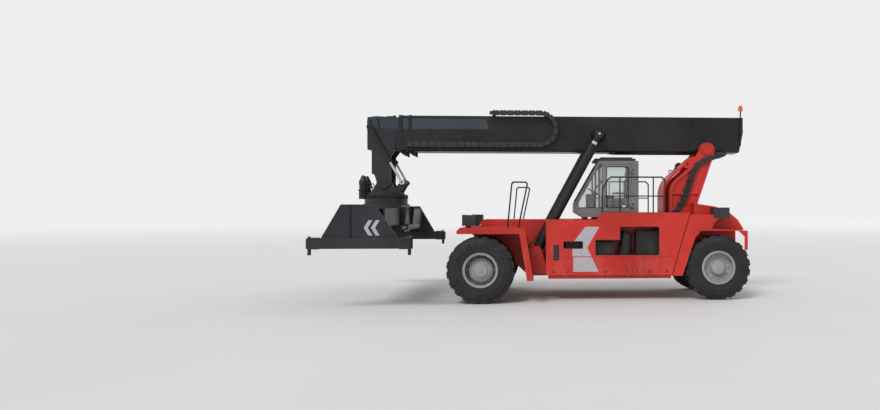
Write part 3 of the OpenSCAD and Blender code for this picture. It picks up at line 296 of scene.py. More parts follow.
@dataclass(frozen=True)
class Paint(Finish):
    """Sprayed enamel with orange peel, faded patches, chipped edges and road dust."""

    primer: Colour = (0.16, 0.15, 0.145)
    dust: Colour = (0.33, 0.30, 0.27)
    dust_top: float = 1.9
    dust_share: float = 0.30
    chips: float = 0.55
    coat: float = 0.08
    gloss: float = 0.30
    peel: float = 0.00025

    def dress(self, graph: Graph) -> None:
        """Builds the enamel.

        Args:
            graph: the material's graph.
        """
        edge, rounded = graph.edges(0.009)
        patches = graph.noise(0.9, 4)
        grain = graph.noise(38, 4)
        streaks = graph.noise(5, 5, (1, 1, 0.45))
        body = graph.colour(patches.step(0.3, 0.7), self.shade(0.84), self.shade(1.12, 0.006))
        low = 1 - graph.axis("Z").step(0.35, self.dust_top)
        grime = (low * 0.85 + 0.08) * streaks.step(0.40, 0.80) * self.dust_share
        dusty = graph.colour(grime, body, self.dust)
        scratch = graph.noise(120, 2, (0.15, 1, 1)).step(0.70, 0.74) * patches.step(0.5, 0.62) * 0.22
        chipped = (edge * grain.step(0.50, 0.60) * self.chips).most(scratch)
        graph.feed(
            Base_Color=graph.colour(chipped, dusty, self.primer),
            Roughness=self.roughness + 0.10 * patches + 0.35 * grime + 0.18 * chipped,
            Normal=graph.bump(grain + 0.5 * graph.noise(260, 2) - chipped, self.peel * 4, 0.6, rounded),
            Coat_Weight=self.coat, Coat_Roughness=0.22, Specular_IOR_Level=self.gloss,
        )


@dataclass(frozen=True)
class Steel(Finish):
    """Ground or plated steel with fine lengthwise marks and a film of oil."""

    brush: Point = (1, 1, 1)
    rust: float = 0.0

    def dress(self, graph: Graph) -> None:
        """Builds the metal.

        Args:
            graph: the material's graph.
        """
        marks = graph.noise(210, 3, self.brush)
        film = graph.noise(6, 3)
        stain = graph.noise(22, 5).step(0.52, 0.72) * self.rust
        worn = graph.colour(film.step(0.3, 0.7), self.shade(0.82), self.colour)
        graph.feed(
            Base_Color=graph.colour(stain, worn, (0.13, 0.06, 0.03)),
            Roughness=self.roughness + 0.12 * film + 0.08 * marks + 0.4 * stain,
            Metallic=1 - stain,
            Normal=graph.bump(marks, 0.0002, 0.4, graph.edges(0.004)[1]),
        )


@dataclass(frozen=True)
class Rubber(Finish):
    """Rubber with dust in its low places and scuffed high ones."""

    dust: Colour = (0.085, 0.080, 0.076)
    dusty: float = 0.5
    relief: float = 0.0012

    def dress(self, graph: Graph) -> None:
        """Builds the rubber.

        Args:
            graph: the material's graph.
        """
        clouds = graph.noise(3.2, 5)
        grain = graph.noise(70, 4)
        edge, rounded = graph.edges(0.010)
        film = (clouds.step(0.35, 0.75) * 0.7 + grain.step(0.5, 0.8) * 0.3) * self.dusty
        scuffed = graph.colour(edge * grain.step(0.4, 0.6) * 0.4, self.colour, self.shade(2.4))
        graph.feed(
            Base_Color=graph.colour(film, scuffed, self.dust),
            Roughness=self.roughness + 0.2 * film,
            Normal=graph.bump(grain + 0.4 * clouds, self.relief, 0.5, rounded),
        )


@dataclass(frozen=True)
class Plastic(Finish):
    """Moulded plastic with a fine grain."""

    grain: float = 420.0

    def dress(self, graph: Graph) -> None:
        """Builds the plastic.

        Args:
            graph: the material's graph.
        """
        pits = graph.cells(self.grain)
        film = graph.noise(5, 3)
        edge, rounded = graph.edges(0.005)
        graph.feed(
            Base_Color=graph.colour((film.step(0.45, 0.8) * 0.5).most(edge * 0.4), self.colour, self.shade(1.6, 0.01)),
            Roughness=self.roughness + 0.15 * film,
            Normal=graph.bump(pits, 0.0003, 0.4, rounded),
        )


@dataclass(frozen=True)
class Glass(Finish):
    """Tinted safety glass with a trace of dust at the foot of the pane."""

    foot: float = 2.2

    def dress(self, graph: Graph) -> None:
        """Builds the glass.

        Args:
            graph: the material's graph.
        """
        smear = graph.noise(4, 4, (1, 1, 0.4)).step(0.5, 0.9)
        low = 1 - graph.axis("Z").step(self.foot, self.foot + 0.5)
        graph.feed(Roughness=self.roughness + 0.01 * smear + 0.05 * low * smear, Transmission_Weight=0.92, IOR=1.45)


@dataclass(frozen=True)
class Lens(Finish):
    """Ribbed lamp lens, clear or coloured."""

    ribs: float = 160.0
    glow: float = 0.0

    def dress(self, graph: Graph) -> None:
        """Builds the lens.

        Args:
            graph: the material's graph.
        """
        ribs = (graph.axis("Y") * self.ribs * 2).wave() * 0.5 + 0.5
        prisms = (graph.axis("Z") * self.ribs).wave() * 0.5 + 0.5
        tone = graph.colour(prisms * ribs, self.shade(0.6), self.colour)
        graph.feed(
            Base_Color=tone, Emission_Color=tone, Emission_Strength=self.glow, Coat_Weight=0.8,
            Normal=graph.bump(prisms + ribs, 0.002, 0.5),
        )


@dataclass(frozen=True)
class Weave(Finish):
    """Woven seat cloth: crossed threads and worn, paler high places."""

    threads: float = 700.0

    def dress(self, graph: Graph) -> None:
        """Builds the cloth.

        Args:
            graph: the material's graph.
        """
        warp = (graph.axis("Y") * self.threads).wave()
        weft = ((graph.axis("X") + graph.axis("Z")) * self.threads).wave()
        cross = warp * weft * 0.5 + 0.5
        worn = graph.noise(7, 4).step(0.35, 0.8)
        graph.feed(
            Base_Color=graph.colour(cross * 0.25 + worn * 0.3, self.colour, self.shade(2.2, 0.01)),
            Roughness=self.roughness + 0.08 * worn,
            Normal=graph.bump(cross + 0.3 * worn, 0.0008, 0.4), Sheen_Weight=0.35,
        )


@dataclass(frozen=True)
class Reflective(Finish):
    """Pale retro-reflecting sheet with its honeycomb, dull with dirt."""

    cell: float = 260.0

    def dress(self, graph: Graph) -> None:
        """Builds the sheet.

        Args:
            graph: the material's graph.
        """
        comb = graph.cells(self.cell).step(0.35, 0.55)
        dirt = graph.noise(8, 5).step(0.45, 0.8)
        graph.feed(
            Base_Color=graph.colour((dirt * 0.75).most(comb * 0.35), self.colour, self.shade(0.62)),
            Roughness=self.roughness + 0.25 * dirt,
            Normal=graph.bump(comb, 0.0002, 0.5),
        )


class Look(Enum):
    """The finishes of this machine."""

    RED = Paint("red", "red_paint", (0.50, 0.020, 0.011), 0.36, dust_share=0.16, gloss=0.34)
    BOOM = Paint("boom_black", "boom_paint", (0.0085, 0.009, 0.0105), 0.34, primer=(0.20, 0.19, 0.18), dust_share=0.08)
    # Painted sheen: this paler slate stands in for the sky light caught by the booms' upper faces; the booms have no
    # such paint of their own
    SHEEN_BAND = Paint("sheen_band_slate", "boom_paint", (0.036, 0.046, 0.060), 0.38, dust_share=0.08)
    NOSE = Paint("nose_slate", "nose_paint", (0.015, 0.018, 0.022), 0.38, primer=(0.24, 0.22, 0.20), dust_share=0.14)
    DARK = Paint("dark", "dark_paint", (0.010, 0.010, 0.011), 0.42, dust_share=0.2)
    CAB = Paint("cab_grey", "cab_paint", (0.19, 0.19, 0.186), 0.40, dust_share=0.15)
    ROOF = Paint("roof", "roof_paint", (0.028, 0.028, 0.030), 0.45, dust_share=0.3)
    RIM = Paint("rim_grey", "rim_paint", (0.30, 0.31, 0.32), 0.42, dust_share=0.45, dust_top=1.2, chips=0.7)
    CHROME = Steel("chrome", "chrome_rod", (0.72, 0.73, 0.75), 0.10)
    STEEL = Steel("bare_steel", "bare_steel", (0.40, 0.39, 0.38), 0.36, rust=0.35)
    ZINC = Steel("zinc", "bare_steel", (0.52, 0.50, 0.44), 0.34, rust=0.15)
    TYRE = Rubber("tyre", "tyre", (0.0095, 0.0100, 0.0115), 0.74, dusty=0.22)
    HOSE = Rubber("hose", "hose_rubber", (0.012, 0.012, 0.013), 0.50, dusty=0.22, relief=0.0004)
    PLASTIC = Plastic("black_plastic", "black_plastic", (0.018, 0.018, 0.019), 0.46)
    SEAL = Rubber("seal", "hose_rubber", (0.010, 0.010, 0.010), 0.58, dusty=0.15, relief=0.0003)
    GLASS = Glass("glass", "clear_glass", (0.84, 0.87, 0.87), 0.02)
    CLEAR_LENS = Lens("clear_lens", "clear_glass", (0.80, 0.82, 0.84), 0.08, glow=0.15)
    AMBER = Lens("amber_lens", "amber", (0.80, 0.20, 0.03), 0.10, glow=0.2)
    CORAL = Lens("coral_lens", "amber", (0.78, 0.085, 0.035), 0.12, glow=0.25)
    RED_LENS = Lens("red_lens", "amber", (0.55, 0.015, 0.012), 0.10, glow=0.1)
    CLOTH = Weave("seat_cloth", "seat_fabric", (0.026, 0.026, 0.029), 0.86)
    STRIPE = Reflective("pale_stripe", "bare_steel", (0.47, 0.43, 0.47), 0.42)

    def material(self) -> bpy.types.Material:
        """The look's material."""
        return self.value.material()


NODE_LOOKS: dict[Look, tuple[str, ...]] = {
    Look.RED: ("frame", "front_fenders", "side_boxes", "tower", "counterweight", "rear_fenders"),
    Look.BOOM: ("outer_boom", "lift_barrels", "damping_barrels"),
    Look.NOSE: ("inner_boom", "yoke", "spreader_head", "spreader_frame", "arm_left", "arm_right"),
    Look.DARK: (
        "tanks", "deck_rails", "engine", "drive_axle", "steer_axle", "slew_drive", "beacon_mast",
        "knuckle_left", "knuckle_right",
    ),
    Look.CAB: ("cab_shell", "cab_door"),
    Look.ROOF: ("cab_roof",),
    Look.RIM: ("drive_rims_left", "drive_rims_right", "steer_rim_left", "steer_rim_right"),
    Look.CHROME: ("lift_rods", "damping_rods", "steer_rod"),
    Look.TYRE: ("drive_tyres_left", "drive_tyres_right", "steer_tyre_left", "steer_tyre_right"),
    Look.HOSE: ("tower_hoses",),
    Look.PLASTIC: ("lamps", "cab_console", "energy_chain"),
    Look.GLASS: ("cab_glass", "door_glass"),
    Look.CLOTH: ("cab_seat",),
    Look.CORAL: ("beacon_lamp",),
}


def dress_nodes() -> None:
    """Gives every carried-over node its finish."""
    for look, names in NODE_LOOKS.items():
        for name in names:
            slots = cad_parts[name].data.materials
            slots.clear()
            slots.append(look.material())


# ---------------------------------------------------------------- mesh building


def circle(centre: Point, along: Point, radius: float, sides: int, turn: float = 0.0) -> list[Vector]:
    """Points on a circle.

    Args:
        centre: its middle.
        along: the direction it faces.
        radius: its radius.
        sides: how many points.
        turn: the first point's angle in radians.

    Returns:
        The points in order.
    """
    along = Vector(along).normalized()
    guide = Vector(UP) if abs(along.z) < 0.9 else Vector((1, 0, 0))
    side = guide.cross(along).normalized()
    up = along.cross(side)
    angles = [turn + math.tau * i / sides for i in range(sides)]
    return [Vector(centre) + (side * math.cos(a) + up * math.sin(a)) * radius for a in angles]


def smooth(path: Sequence[Point], steps: int) -> list[Vector]:
    """Rounds a path into a curve through the same points.

    Args:
        path: the points it passes.
        steps: pieces between two of them.

    Returns:
        The curve's points.
    """
    dots = [Vector(p) for p in path]
    row = [dots[0] * 2 - dots[1], *dots, dots[-1] * 2 - dots[-2]]
    curve = []
    for a, b, c, d in zip(row, row[1:], row[2:], row[3:]):
        for t in (i / steps for i in range(steps)):
            bend = (2 * a - 5 * b + 4 * c - d) * t * t + (3 * b - a - 3 * c + d) * t ** 3
            curve.append(0.5 * (2 * b + (c - a) * t + bend))
    return [*curve, dots[-1]]


def span(low: float, high: float, count: int) -> list[float]:
    """So many evenly spaced values from the first to the last."""
    return [low + (high - low) * i / (count - 1) for i in range(count)]


def rounded(u: tuple[float, float], v: tuple[float, float], radius: float, steps: int = 4) -> list[tuple[float, float]]:
    """A rectangle with round corners.

    Args:
        u: its limits along the first direction.
        v: its limits along the second.
        radius: the corners' radius.
        steps: pieces in a corner.

    Returns:
        The outline.
    """
    corners = [(u[1], v[1], 0), (u[0], v[1], 1), (u[0], v[0], 2), (u[1], v[0], 3)]
    out = []
    for cu, cv, quarter in corners:
        mu = cu - radius if cu == u[1] else cu + radius
        mv = cv - radius if cv == v[1] else cv + radius
        for i in range(steps + 1):
            a = (quarter + i / steps) * math.pi / 2
            out.append((mu + radius * math.cos(a), mv + radius * math.sin(a)))
    return out


def on_plane(outline: Sequence[Point], axis: str, at: float) -> list[Point]:
    """Flat points (y, z), (x, z) or (x, y) put where the axis x, y or z has one value."""
    order = "xyz".index(axis)
    return [(*dot[:order], at, *dot[order:]) for dot in outline]


@dataclass
class Shape:
    """A mesh in the making, in metres from the front axle, the centre line and the ground."""

    points: list[Vector] = field(default_factory=list)
    faces: list[tuple[int, ...]] = field(default_factory=list)

    def loft(self, rings: Sequence[Sequence[Point]], closed: bool = False) -> "Shape":
        """Skins a row of rings of equal count.

        Args:
            rings: the rings in order.
            closed: joins the last ring to the first; otherwise both ends are capped.

        Returns:
            The shape itself.
        """
        base, count, rows = len(self.points), len(rings[0]), len(rings)
        for ring in rings:
            self.points += [Vector(p) for p in ring]
        for row in range(rows if closed else rows - 1):
            a, b = base + row * count, base + (row + 1) % rows * count
            self.faces += [(a + i, a + (i + 1) % count, b + (i + 1) % count, b + i) for i in range(count)]
        if not closed:
            self.faces.append(tuple(range(base, base + count))[::-1])
            self.faces.append(tuple(range(base + (rows - 1) * count, base + rows * count)))
        return self

    def prism(self, outline: Sequence[tuple[float, float]], axis: str, low: float, high: float) -> "Shape":
        """Pushes a flat outline, as for on_plane, along one axis from low to high."""
        return self.loft([on_plane(outline, axis, low), on_plane(outline, axis, high)])

    def block(self, x: Point, y: Point, z: Point, soft: float = 0.003) -> "Shape":
        """A plate or block with small bevelled corners.

        Args:
            x: its limits along X.
            y: its limits along Y.
            z: its limits along Z.
            soft: the corners' cut.

        Returns:
            The shape itself.
        """
        thin = min((x[1] - x[0], "x"), (y[1] - y[0], "y"), (z[1] - z[0], "z"))[1]
        u, v, w = {"x": (y, z, x), "y": (x, z, y), "z": (x, y, z)}[thin]
        return self.prism(rounded(u, v, soft, 1), thin, *w)

    def rod(self, start: Point, end: Point, radius: float, sides: int = 16) -> "Shape":
        """A round bar with a small chamfer at its end.

        Args:
            start: the middle of its first end.
            end: the middle of its second end.
            radius: its radius.
            sides: facets round it.

        Returns:
            The shape itself.
        """
        start, end = Vector(start), Vector(end)
        along = end - start
        cut = along.normalized() * min(0.15 * radius, 0.3 * along.length)
        rows = [(start, radius * 0.85), (start + cut, radius), (end - cut, radius), (end, radius * 0.85)]
        return self.loft([circle(at, along, r, sides) for at, r in rows])

    def turned(self, profile: Sequence[tuple[float, float]], centre: Point, along: Point, sides: int = 32) -> "Shape":
        """Turns a closed profile of (radius, distance along the axis) round an axis."""
        centre, along = Vector(centre), Vector(along).normalized()
        return self.loft([circle(centre + along * h, along, r, sides) for r, h in profile], closed=True)

    def washer(self, radii: Point, heights: Point, centre: Point, along: Point, sides: int) -> "Shape":
        """A flat ring by its inner and outer radius and its limits along the axis."""
        (inner, outer), (low, high) = radii, heights
        return self.turned([(inner, low), (outer, low), (outer, high), (inner, high)], centre, along, sides)

    def latch(self, at: Point, radius: float, crown: float) -> "Shape":
        """A round latch or lock that faces left, by its seat, its radius and its crown's."""
        profile = [(0.004, 0), (radius, 0), (radius, 0.006), (crown, 0.010), (0.004, 0.010)]
        return self.turned(profile, at, LEFT, 20)

    def edging(self, outline: Sequence[Point], axis: str, at: float, radius: float) -> "Shape":
        """Lays a round bead along a closed outline, as for on_plane."""
        return self.hose(on_plane([*outline, outline[0]], axis, at), radius, 8, 0)

    def hose(self, path: Sequence[Point], radius: float, sides: int = 10, steps: int = 5) -> "Shape":
        """A round tube along a smooth path.

        Args:
            path: the points it passes.
            radius: its radius.
            sides: facets round it.
            steps: pieces between two points; 0 keeps the path's corners.

        Returns:
            The shape itself.
        """
        dots = smooth(path, steps) if steps else [Vector(p) for p in path]
        ahead = [(b - a).normalized() for a, b in zip(dots, dots[1:])]
        tangents = [ahead[0], *((a + b).normalized() for a, b in zip(ahead, ahead[1:])), ahead[-1]]
        side = tangents[0].orthogonal().normalized()
        angles = [math.tau * i / sides for i in range(sides)]
        rings = []
        for dot, tangent in zip(dots, tangents):
            side = (side - tangent * side.dot(tangent)).normalized()
            up = tangent.cross(side)
            rings.append([dot + (side * math.cos(a) + up * math.sin(a)) * radius for a in angles])
        return self.loft(rings)

    def bolt(self, at: Point, along: Point, radius: float = 0.013) -> "Shape":
        """A hexagon head on its washer.

        Args:
            at: the seat's middle.
            along: where the head points.
            radius: the head's radius over its corners.

        Returns:
            The shape itself.
        """
        at, along = Vector(at), Vector(along).normalized()
        for sides, rows in ((12, ((0.0, 1.3), (0.22, 1.3))), (6, ((0.2, 1.0), (0.75, 1.0), (0.9, 0.82)))):
            self.loft([circle(at + along * h * radius, along, r * radius, sides) for h, r in rows])
        return self

    def bolt_ring(self, centre: Point, along: Point, ring: float, count: int, radius: float) -> "Shape":
        """Bolts evenly round a circle.

        Args:
            centre: the circle's middle.
            along: where the heads point.
            ring: the circle's radius.
            count: how many.
            radius: a head's radius.

        Returns:
            The shape itself.
        """
        for at in circle(centre, along, ring, count):
            self.bolt(at, along, radius)
        return self

    def mirrored(self) -> "Shape":
        """Adds the same again on the other side of the centre line.

        Returns:
            The shape itself.
        """
        base = len(self.points)
        self.points += [Vector((p.x, -p.y, p.z)) for p in self.points]
        self.faces += [tuple(base + i for i in reversed(face)) for face in self.faces]
        return self

    def pair(self, name: str, look: Look, body: str = "chassis") -> bpy.types.Object:
        """Makes the fitting of both sides as one piece; the arguments are those of make."""
        return self.mirrored().make(name, look, body)

    def on_side(self, side: int) -> "Shape":
        """Moves the whole to one side of the centre line.

        Args:
            side: 1 for the left and -1 for the right.

        Returns:
            The shape itself.
        """
        if side < 0:
            self.points = [Vector((p.x, -p.y, p.z)) for p in self.points]
        return self

    def make(self, name: str, look: Look, body: str | None = "chassis") -> bpy.types.Object:
        """Makes the object, dresses it and hangs it on a body.

        Args:
            name: its name.
            look: its finish.
            body: the body that carries it, or None for one that hangs on no body.

        Returns:
            The new object.
        """
        mesh = bpy.data.meshes.new(name)
        shift = Vector((SHIFT, 0, 0))
        mesh.from_pydata([p + shift for p in self.points], [], self.faces)
        work = bmesh.new()
        work.from_mesh(mesh)
        bmesh.ops.recalc_face_normals(work, faces=work.faces)
        work.to_mesh(mesh)
        work.free()
        mesh.polygons.foreach_set("use_smooth", [True] * len(mesh.polygons))
        mesh.set_sharp_from_angle(angle=SHARP)
        mesh.materials.append(look.material())
        piece = bpy.data.objects.new(name, mesh)
        bpy.context.scene.collection.objects.link(piece)
        if body:
            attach(piece, body)
        LOG.info("%s: %d faces", name, len(mesh.polygons))
        return piece


# ---------------------------------------------------------------- wheels


@dataclass
class Wheel:
    """Sidewall ribs, nuts, bolts and valve of one wheel or twin wheel."""

    name: str
    body: str
    side: int
    station: float
    tyres: tuple[float, ...]
    studs: tuple[float, float]
    cap_bolts: tuple[tuple[float, float, int], ...]
    axle: float = AXLE_Z
    lugs: int = 20

    def build(self) -> None:
        """Makes all of the wheel's fittings."""
        self.build_ribs()
        self.build_nuts()

    def radial(self, radius: float, y: float, angle: float, across: float = 0.0) -> Vector:
        """A point of the wheel by radius, distance out and angle.

        Args:
            radius: metres from the axle.
            y: metres from the centre line.
            angle: radians from the top.
            across: metres along the circle.

        Returns:
            The point.
        """
        u = Vector((math.sin(angle), 0, math.cos(angle)))
        v = Vector((math.cos(angle), 0, -math.sin(angle)))
        return Vector((self.station, y, self.axle)) + u * radius + v * across

    def build_ribs(self) -> None:
        """Lays the rings and the shoulder ribs on the tyres' flanks."""
        shape = Shape()
        profile = ((0.628, 0.226), (0.642, 0.239), (0.705, 0.233), (0.772, 0.196), (0.772, 0.150), (0.700, 0.212))
        for y in self.tyres:
            for flank in SIDES:
                turn = 0.5 if flank > 0 else 0.0
                for i in range(self.lugs):
                    angle = math.tau * (i + turn) / self.lugs
                    shape.loft([
                        [self.radial(r, y + flank * h, angle, across * (0.6 + 0.4 * (r > 0.69))) for r, h in profile]
                        for across in (-0.038, 0.038)
                    ])
                for r, h in ((0.500, 0.2195), (0.585, 0.2335), (0.612, 0.2335)):
                    shape.turned(
                        [(r - 0.006, -0.002), (r - 0.002, 0.005), (r + 0.002, 0.005), (r + 0.006, -0.002)],
                        (self.station, y + flank * h, self.axle), (0, flank, 0), 60,
                    )
        shape.on_side(self.side).make(self.name + "_tyre_ribs", Look.TYRE, self.body)

    def build_nuts(self) -> None:
        """Puts the nuts on the studs, the cap's bolts, the lock ring and the valve."""
        ring, face = self.studs
        bolts = Shape().bolt_ring((self.station, face, self.axle), LEFT, ring, 12, 0.027)
        for radius, y, count in self.cap_bolts:
            bolts.bolt_ring((self.station, y, self.axle), LEFT, radius, count, 0.014)
        bolts.on_side(self.side).make(self.name + "_nuts", Look.ZINC, self.body)
        out = max(self.tyres)
        lock = Shape().turned(
            [(0.402, 0.2275), (0.405, 0.234), (0.423, 0.234), (0.427, 0.2275)],
            (self.station, out, self.axle), LEFT, 72,
        )
        lock.on_side(self.side).make(self.name + "_lock_ring", Look.RIM, self.body)
        stem = ((0.315, 0.0), (0.322, 0.035), (0.345, 0.06), (0.372, 0.075))
        valve = Shape().hose([self.radial(r, face + out, 0.2) for r, out in stem], 0.006, 8)
        valve.rod(self.radial(0.366, face + 0.072, 0.2), self.radial(0.385, face + 0.080, 0.2), 0.009, 10)
        valve.on_side(self.side).make(self.name + "_valve", Look.ZINC, self.body)


# ---------------------------------------------------------------- body, fenders and lamps


@dataclass
class BodyPanels:
    """Trims, latches, hinges, bolts and tread plates of the red body."""

    face: float = 1.5
    deck: float = 2.23
    seam: float = 1.116
    fender: float = 1.86
    sill_end: float = -3.0
    tread: float = 0.055
    hinge_at: tuple[float, ...] = (-4.45, -4.05, -3.55, -3.05, -2.12, -1.72)
    latch_at: tuple[float, ...] = (-4.66, -4.22, -3.9, -3.65, -3.10, -2.15, -1.78)

    def build(self) -> None:
        """Makes all of the body's fittings."""
        self.build_trims()
        self.build_hardware()
        self.build_treads()
        self.build_chevrons()
        self.build_fender_bolts()

    def build_trims(self) -> None:
        """Lays rubber edging round the openings."""
        wide = [(-4.46, 1.16), (-2.85, 1.16), (-2.85, 1.54), (-3.47, 1.54), (-3.47, 1.87), (-4.46, 1.87)]
        shape = Shape()
        for outline in (wide, rounded((-2.52, -2.04), (1.33, 1.50), 0.03)):
            shape.edging(outline, "y", self.face - 0.004, 0.010)
        shape.pair("opening_trims", Look.SEAL)

    def build_hardware(self) -> None:
        """Adds piano hinges, quarter-turn latches and the bolts along the top edge."""
        y = self.face
        bolts, dark = Shape(), Shape()
        for x in span(-5.05, -1.72, 12):
            bolts.bolt((x, y, 2.185 if x < self.sill_end else 2.035), LEFT, 0.011)
        for x in self.hinge_at:
            bolts.rod((x - 0.045, y + 0.006, self.seam), (x + 0.045, y + 0.006, self.seam), 0.009, 10)
            bolts.block((x - 0.04, x + 0.04), (y - 0.001, y + 0.004), (self.seam - 0.045, self.seam + 0.045), 0.006)
        for x in self.latch_at:
            dark.latch((x, y, 0.74), 0.026, 0.018)
            dark.block((x - 0.016, x + 0.016), (y + 0.009, y + 0.013), (0.736, 0.744), 0.001)
        # Pressure test points and isolator box near the front post
        for z in (1.10, 1.22, 1.34):
            for low, high, radius in ((-0.002, 0.028, 0.013), (0.026, 0.034, 0.009)):
                bolts.rod((-1.86, y + low, z), (-1.86, y + high, z), radius, 12)
        dark.block((-1.93, -1.79), (y - 0.001, y + 0.006), (1.03, 1.42), 0.012)
        bolts.pair("body_hardware", Look.RED)
        dark.pair("body_latches", Look.PLASTIC)

    def build_treads(self) -> None:
        """Lays tread plates on the decks and the fenders."""
        shape = Shape()
        plates = [
            ((-4.95, -4.05), (1.0, 1.40), self.deck), ((-4.02, -3.12), (1.0, 1.40), self.deck),
            ((-0.86, -0.12), (1.55, 2.0), self.fender), ((-0.08, 0.16), (1.0, 2.0), self.fender),
        ]
        for x, y, z in plates:
            shape.block(x, y, (z + 0.0005, z + 0.004), 0.01)
            rows, lanes = (span(a + 0.04, b - 0.04, int((b - a) / self.tread)) for a, b in (x, y))
            for i, u in enumerate(rows):
                for j, v in enumerate(lanes):
                    turn = 1 if (i + j) % 2 else -1
                    a, b = Vector((0.016, 0.016 * turn, 0)), Vector((0.004, -0.004 * turn, 0))
                    low, high = Vector((u, v, z + 0.0035)), Vector((u, v, z + 0.006))
                    foot = [low + a, low + b, low - a, low - b]
                    shape.loft([foot, [high + a * 0.8, high + b * 0.6, high - a * 0.8, high - b * 0.6]])
        shape.pair("tread_plates", Look.DARK)

    def build_chevrons(self) -> None:
        """Lays the pale chevrons on both body sides."""
        shape = Shape()
        for outline in (
            [(-2.589, 1.873), (-2.943, 1.873), (-2.732, 1.512), (-2.309, 1.512)],
            [(-2.532, 1.512), (-2.732, 1.512), (-2.637, 1.347), (-2.650, 1.318), (-2.532, 1.318)],
            [(-2.263, 1.318), (-2.650, 1.318), (-2.742, 1.126), (-2.263, 1.126)],
            [(-2.286, 1.106), (-2.751, 1.106), (-2.922, 0.742), (-2.286, 0.742)],
        ):
            shape.prism(outline, "y", *(self.face + d for d in SHEET))
        shape.pair("body_chevrons", Look.STRIPE)

    def build_fender_bolts(self) -> None:
        """Bolts the fenders' edges and puts the feet's bolts on the rails."""
        shape = Shape()
        for x in span(-0.88, 0.46, 9):
            shape.bolt((x, 2.06, 1.79), LEFT, 0.010)
        for z in span(0.66, 1.62, 6):
            x = -0.945 - (1.71 - z) * 0.165 - 0.10
            shape.bolt((x, 2.06, z), LEFT, 0.010)
        for x, y in ((-0.66, 1.99), (-0.92, 1.93)):
            for dx, dy in ((0.03, 0), (-0.03, 0), (0, 0.03), (0, -0.03)):
                shape.bolt((x + dx, y + dy, 1.874), UP, 0.008)
        for x in (-4.62, -4.32, -3.47, -3.02):
            shape.washer((0.0195, 0.04), (0, 0.008), (x, 1.45, self.deck), UP, 20)
        shape.pair("fender_bolts", Look.RED)


@dataclass
class Lamps:
    """Lenses, bezels and screws of the head and tail lamps."""

    head_y: tuple[float, ...] = (1.12, 1.42)
    tail_y: tuple[float, ...] = (1.20, 1.35)

    def build(self) -> None:
        """Makes the lenses and their bezels."""
        lens, bezel = Shape(), Shape()
        for y in self.head_y:
            lens.prism(rounded((y + 0.032, y + 0.198), (1.932, 2.138), 0.02), "x", 0.452, 0.466)
            for z in (1.985, 2.085):
                bezel.turned(
                    [(0.052, 0), (0.056, 0.006), (0.060, 0.006), (0.063, 0)], (0.464, y + 0.115, z), AHEAD, 24
                )
            for dy in (0.026, 0.204):
                bezel.block((0.446, 0.475), (y + dy - 0.005, y + dy + 0.005), (1.922, 2.148), 0.002)
            bezel.prism([(0.42, 2.1705), (0.479, 2.1705), (0.479, 2.174), (0.42, 2.174)], "y", y - 0.004, y + 0.234)
            for dy, out in ((0.0, -1), (0.23, 1)):
                bezel.bolt((0.35, y + dy, 2.03), (0, out, 0), 0.012)
        lens.pair("head_lenses", Look.CLEAR_LENS)
        bezel.pair("head_bezels", Look.PLASTIC)
        for name, y, look in zip(("stop_lenses", "turn_lenses"), self.tail_y, (Look.RED_LENS, Look.AMBER)):
            shape = Shape().prism(rounded((y + 0.006, y + 0.124), (2.206, 2.324), 0.016), "x", -6.266, -6.2505)
            shape.pair(name, look)
        screws = Shape()
        for y in (1.192, 1.341, 1.489):
            for z in (2.14, 2.345):
                screws.bolt((-6.27, y, z), (-1, 0, 0), 0.006)
        screws.pair("tail_screws", Look.ZINC)


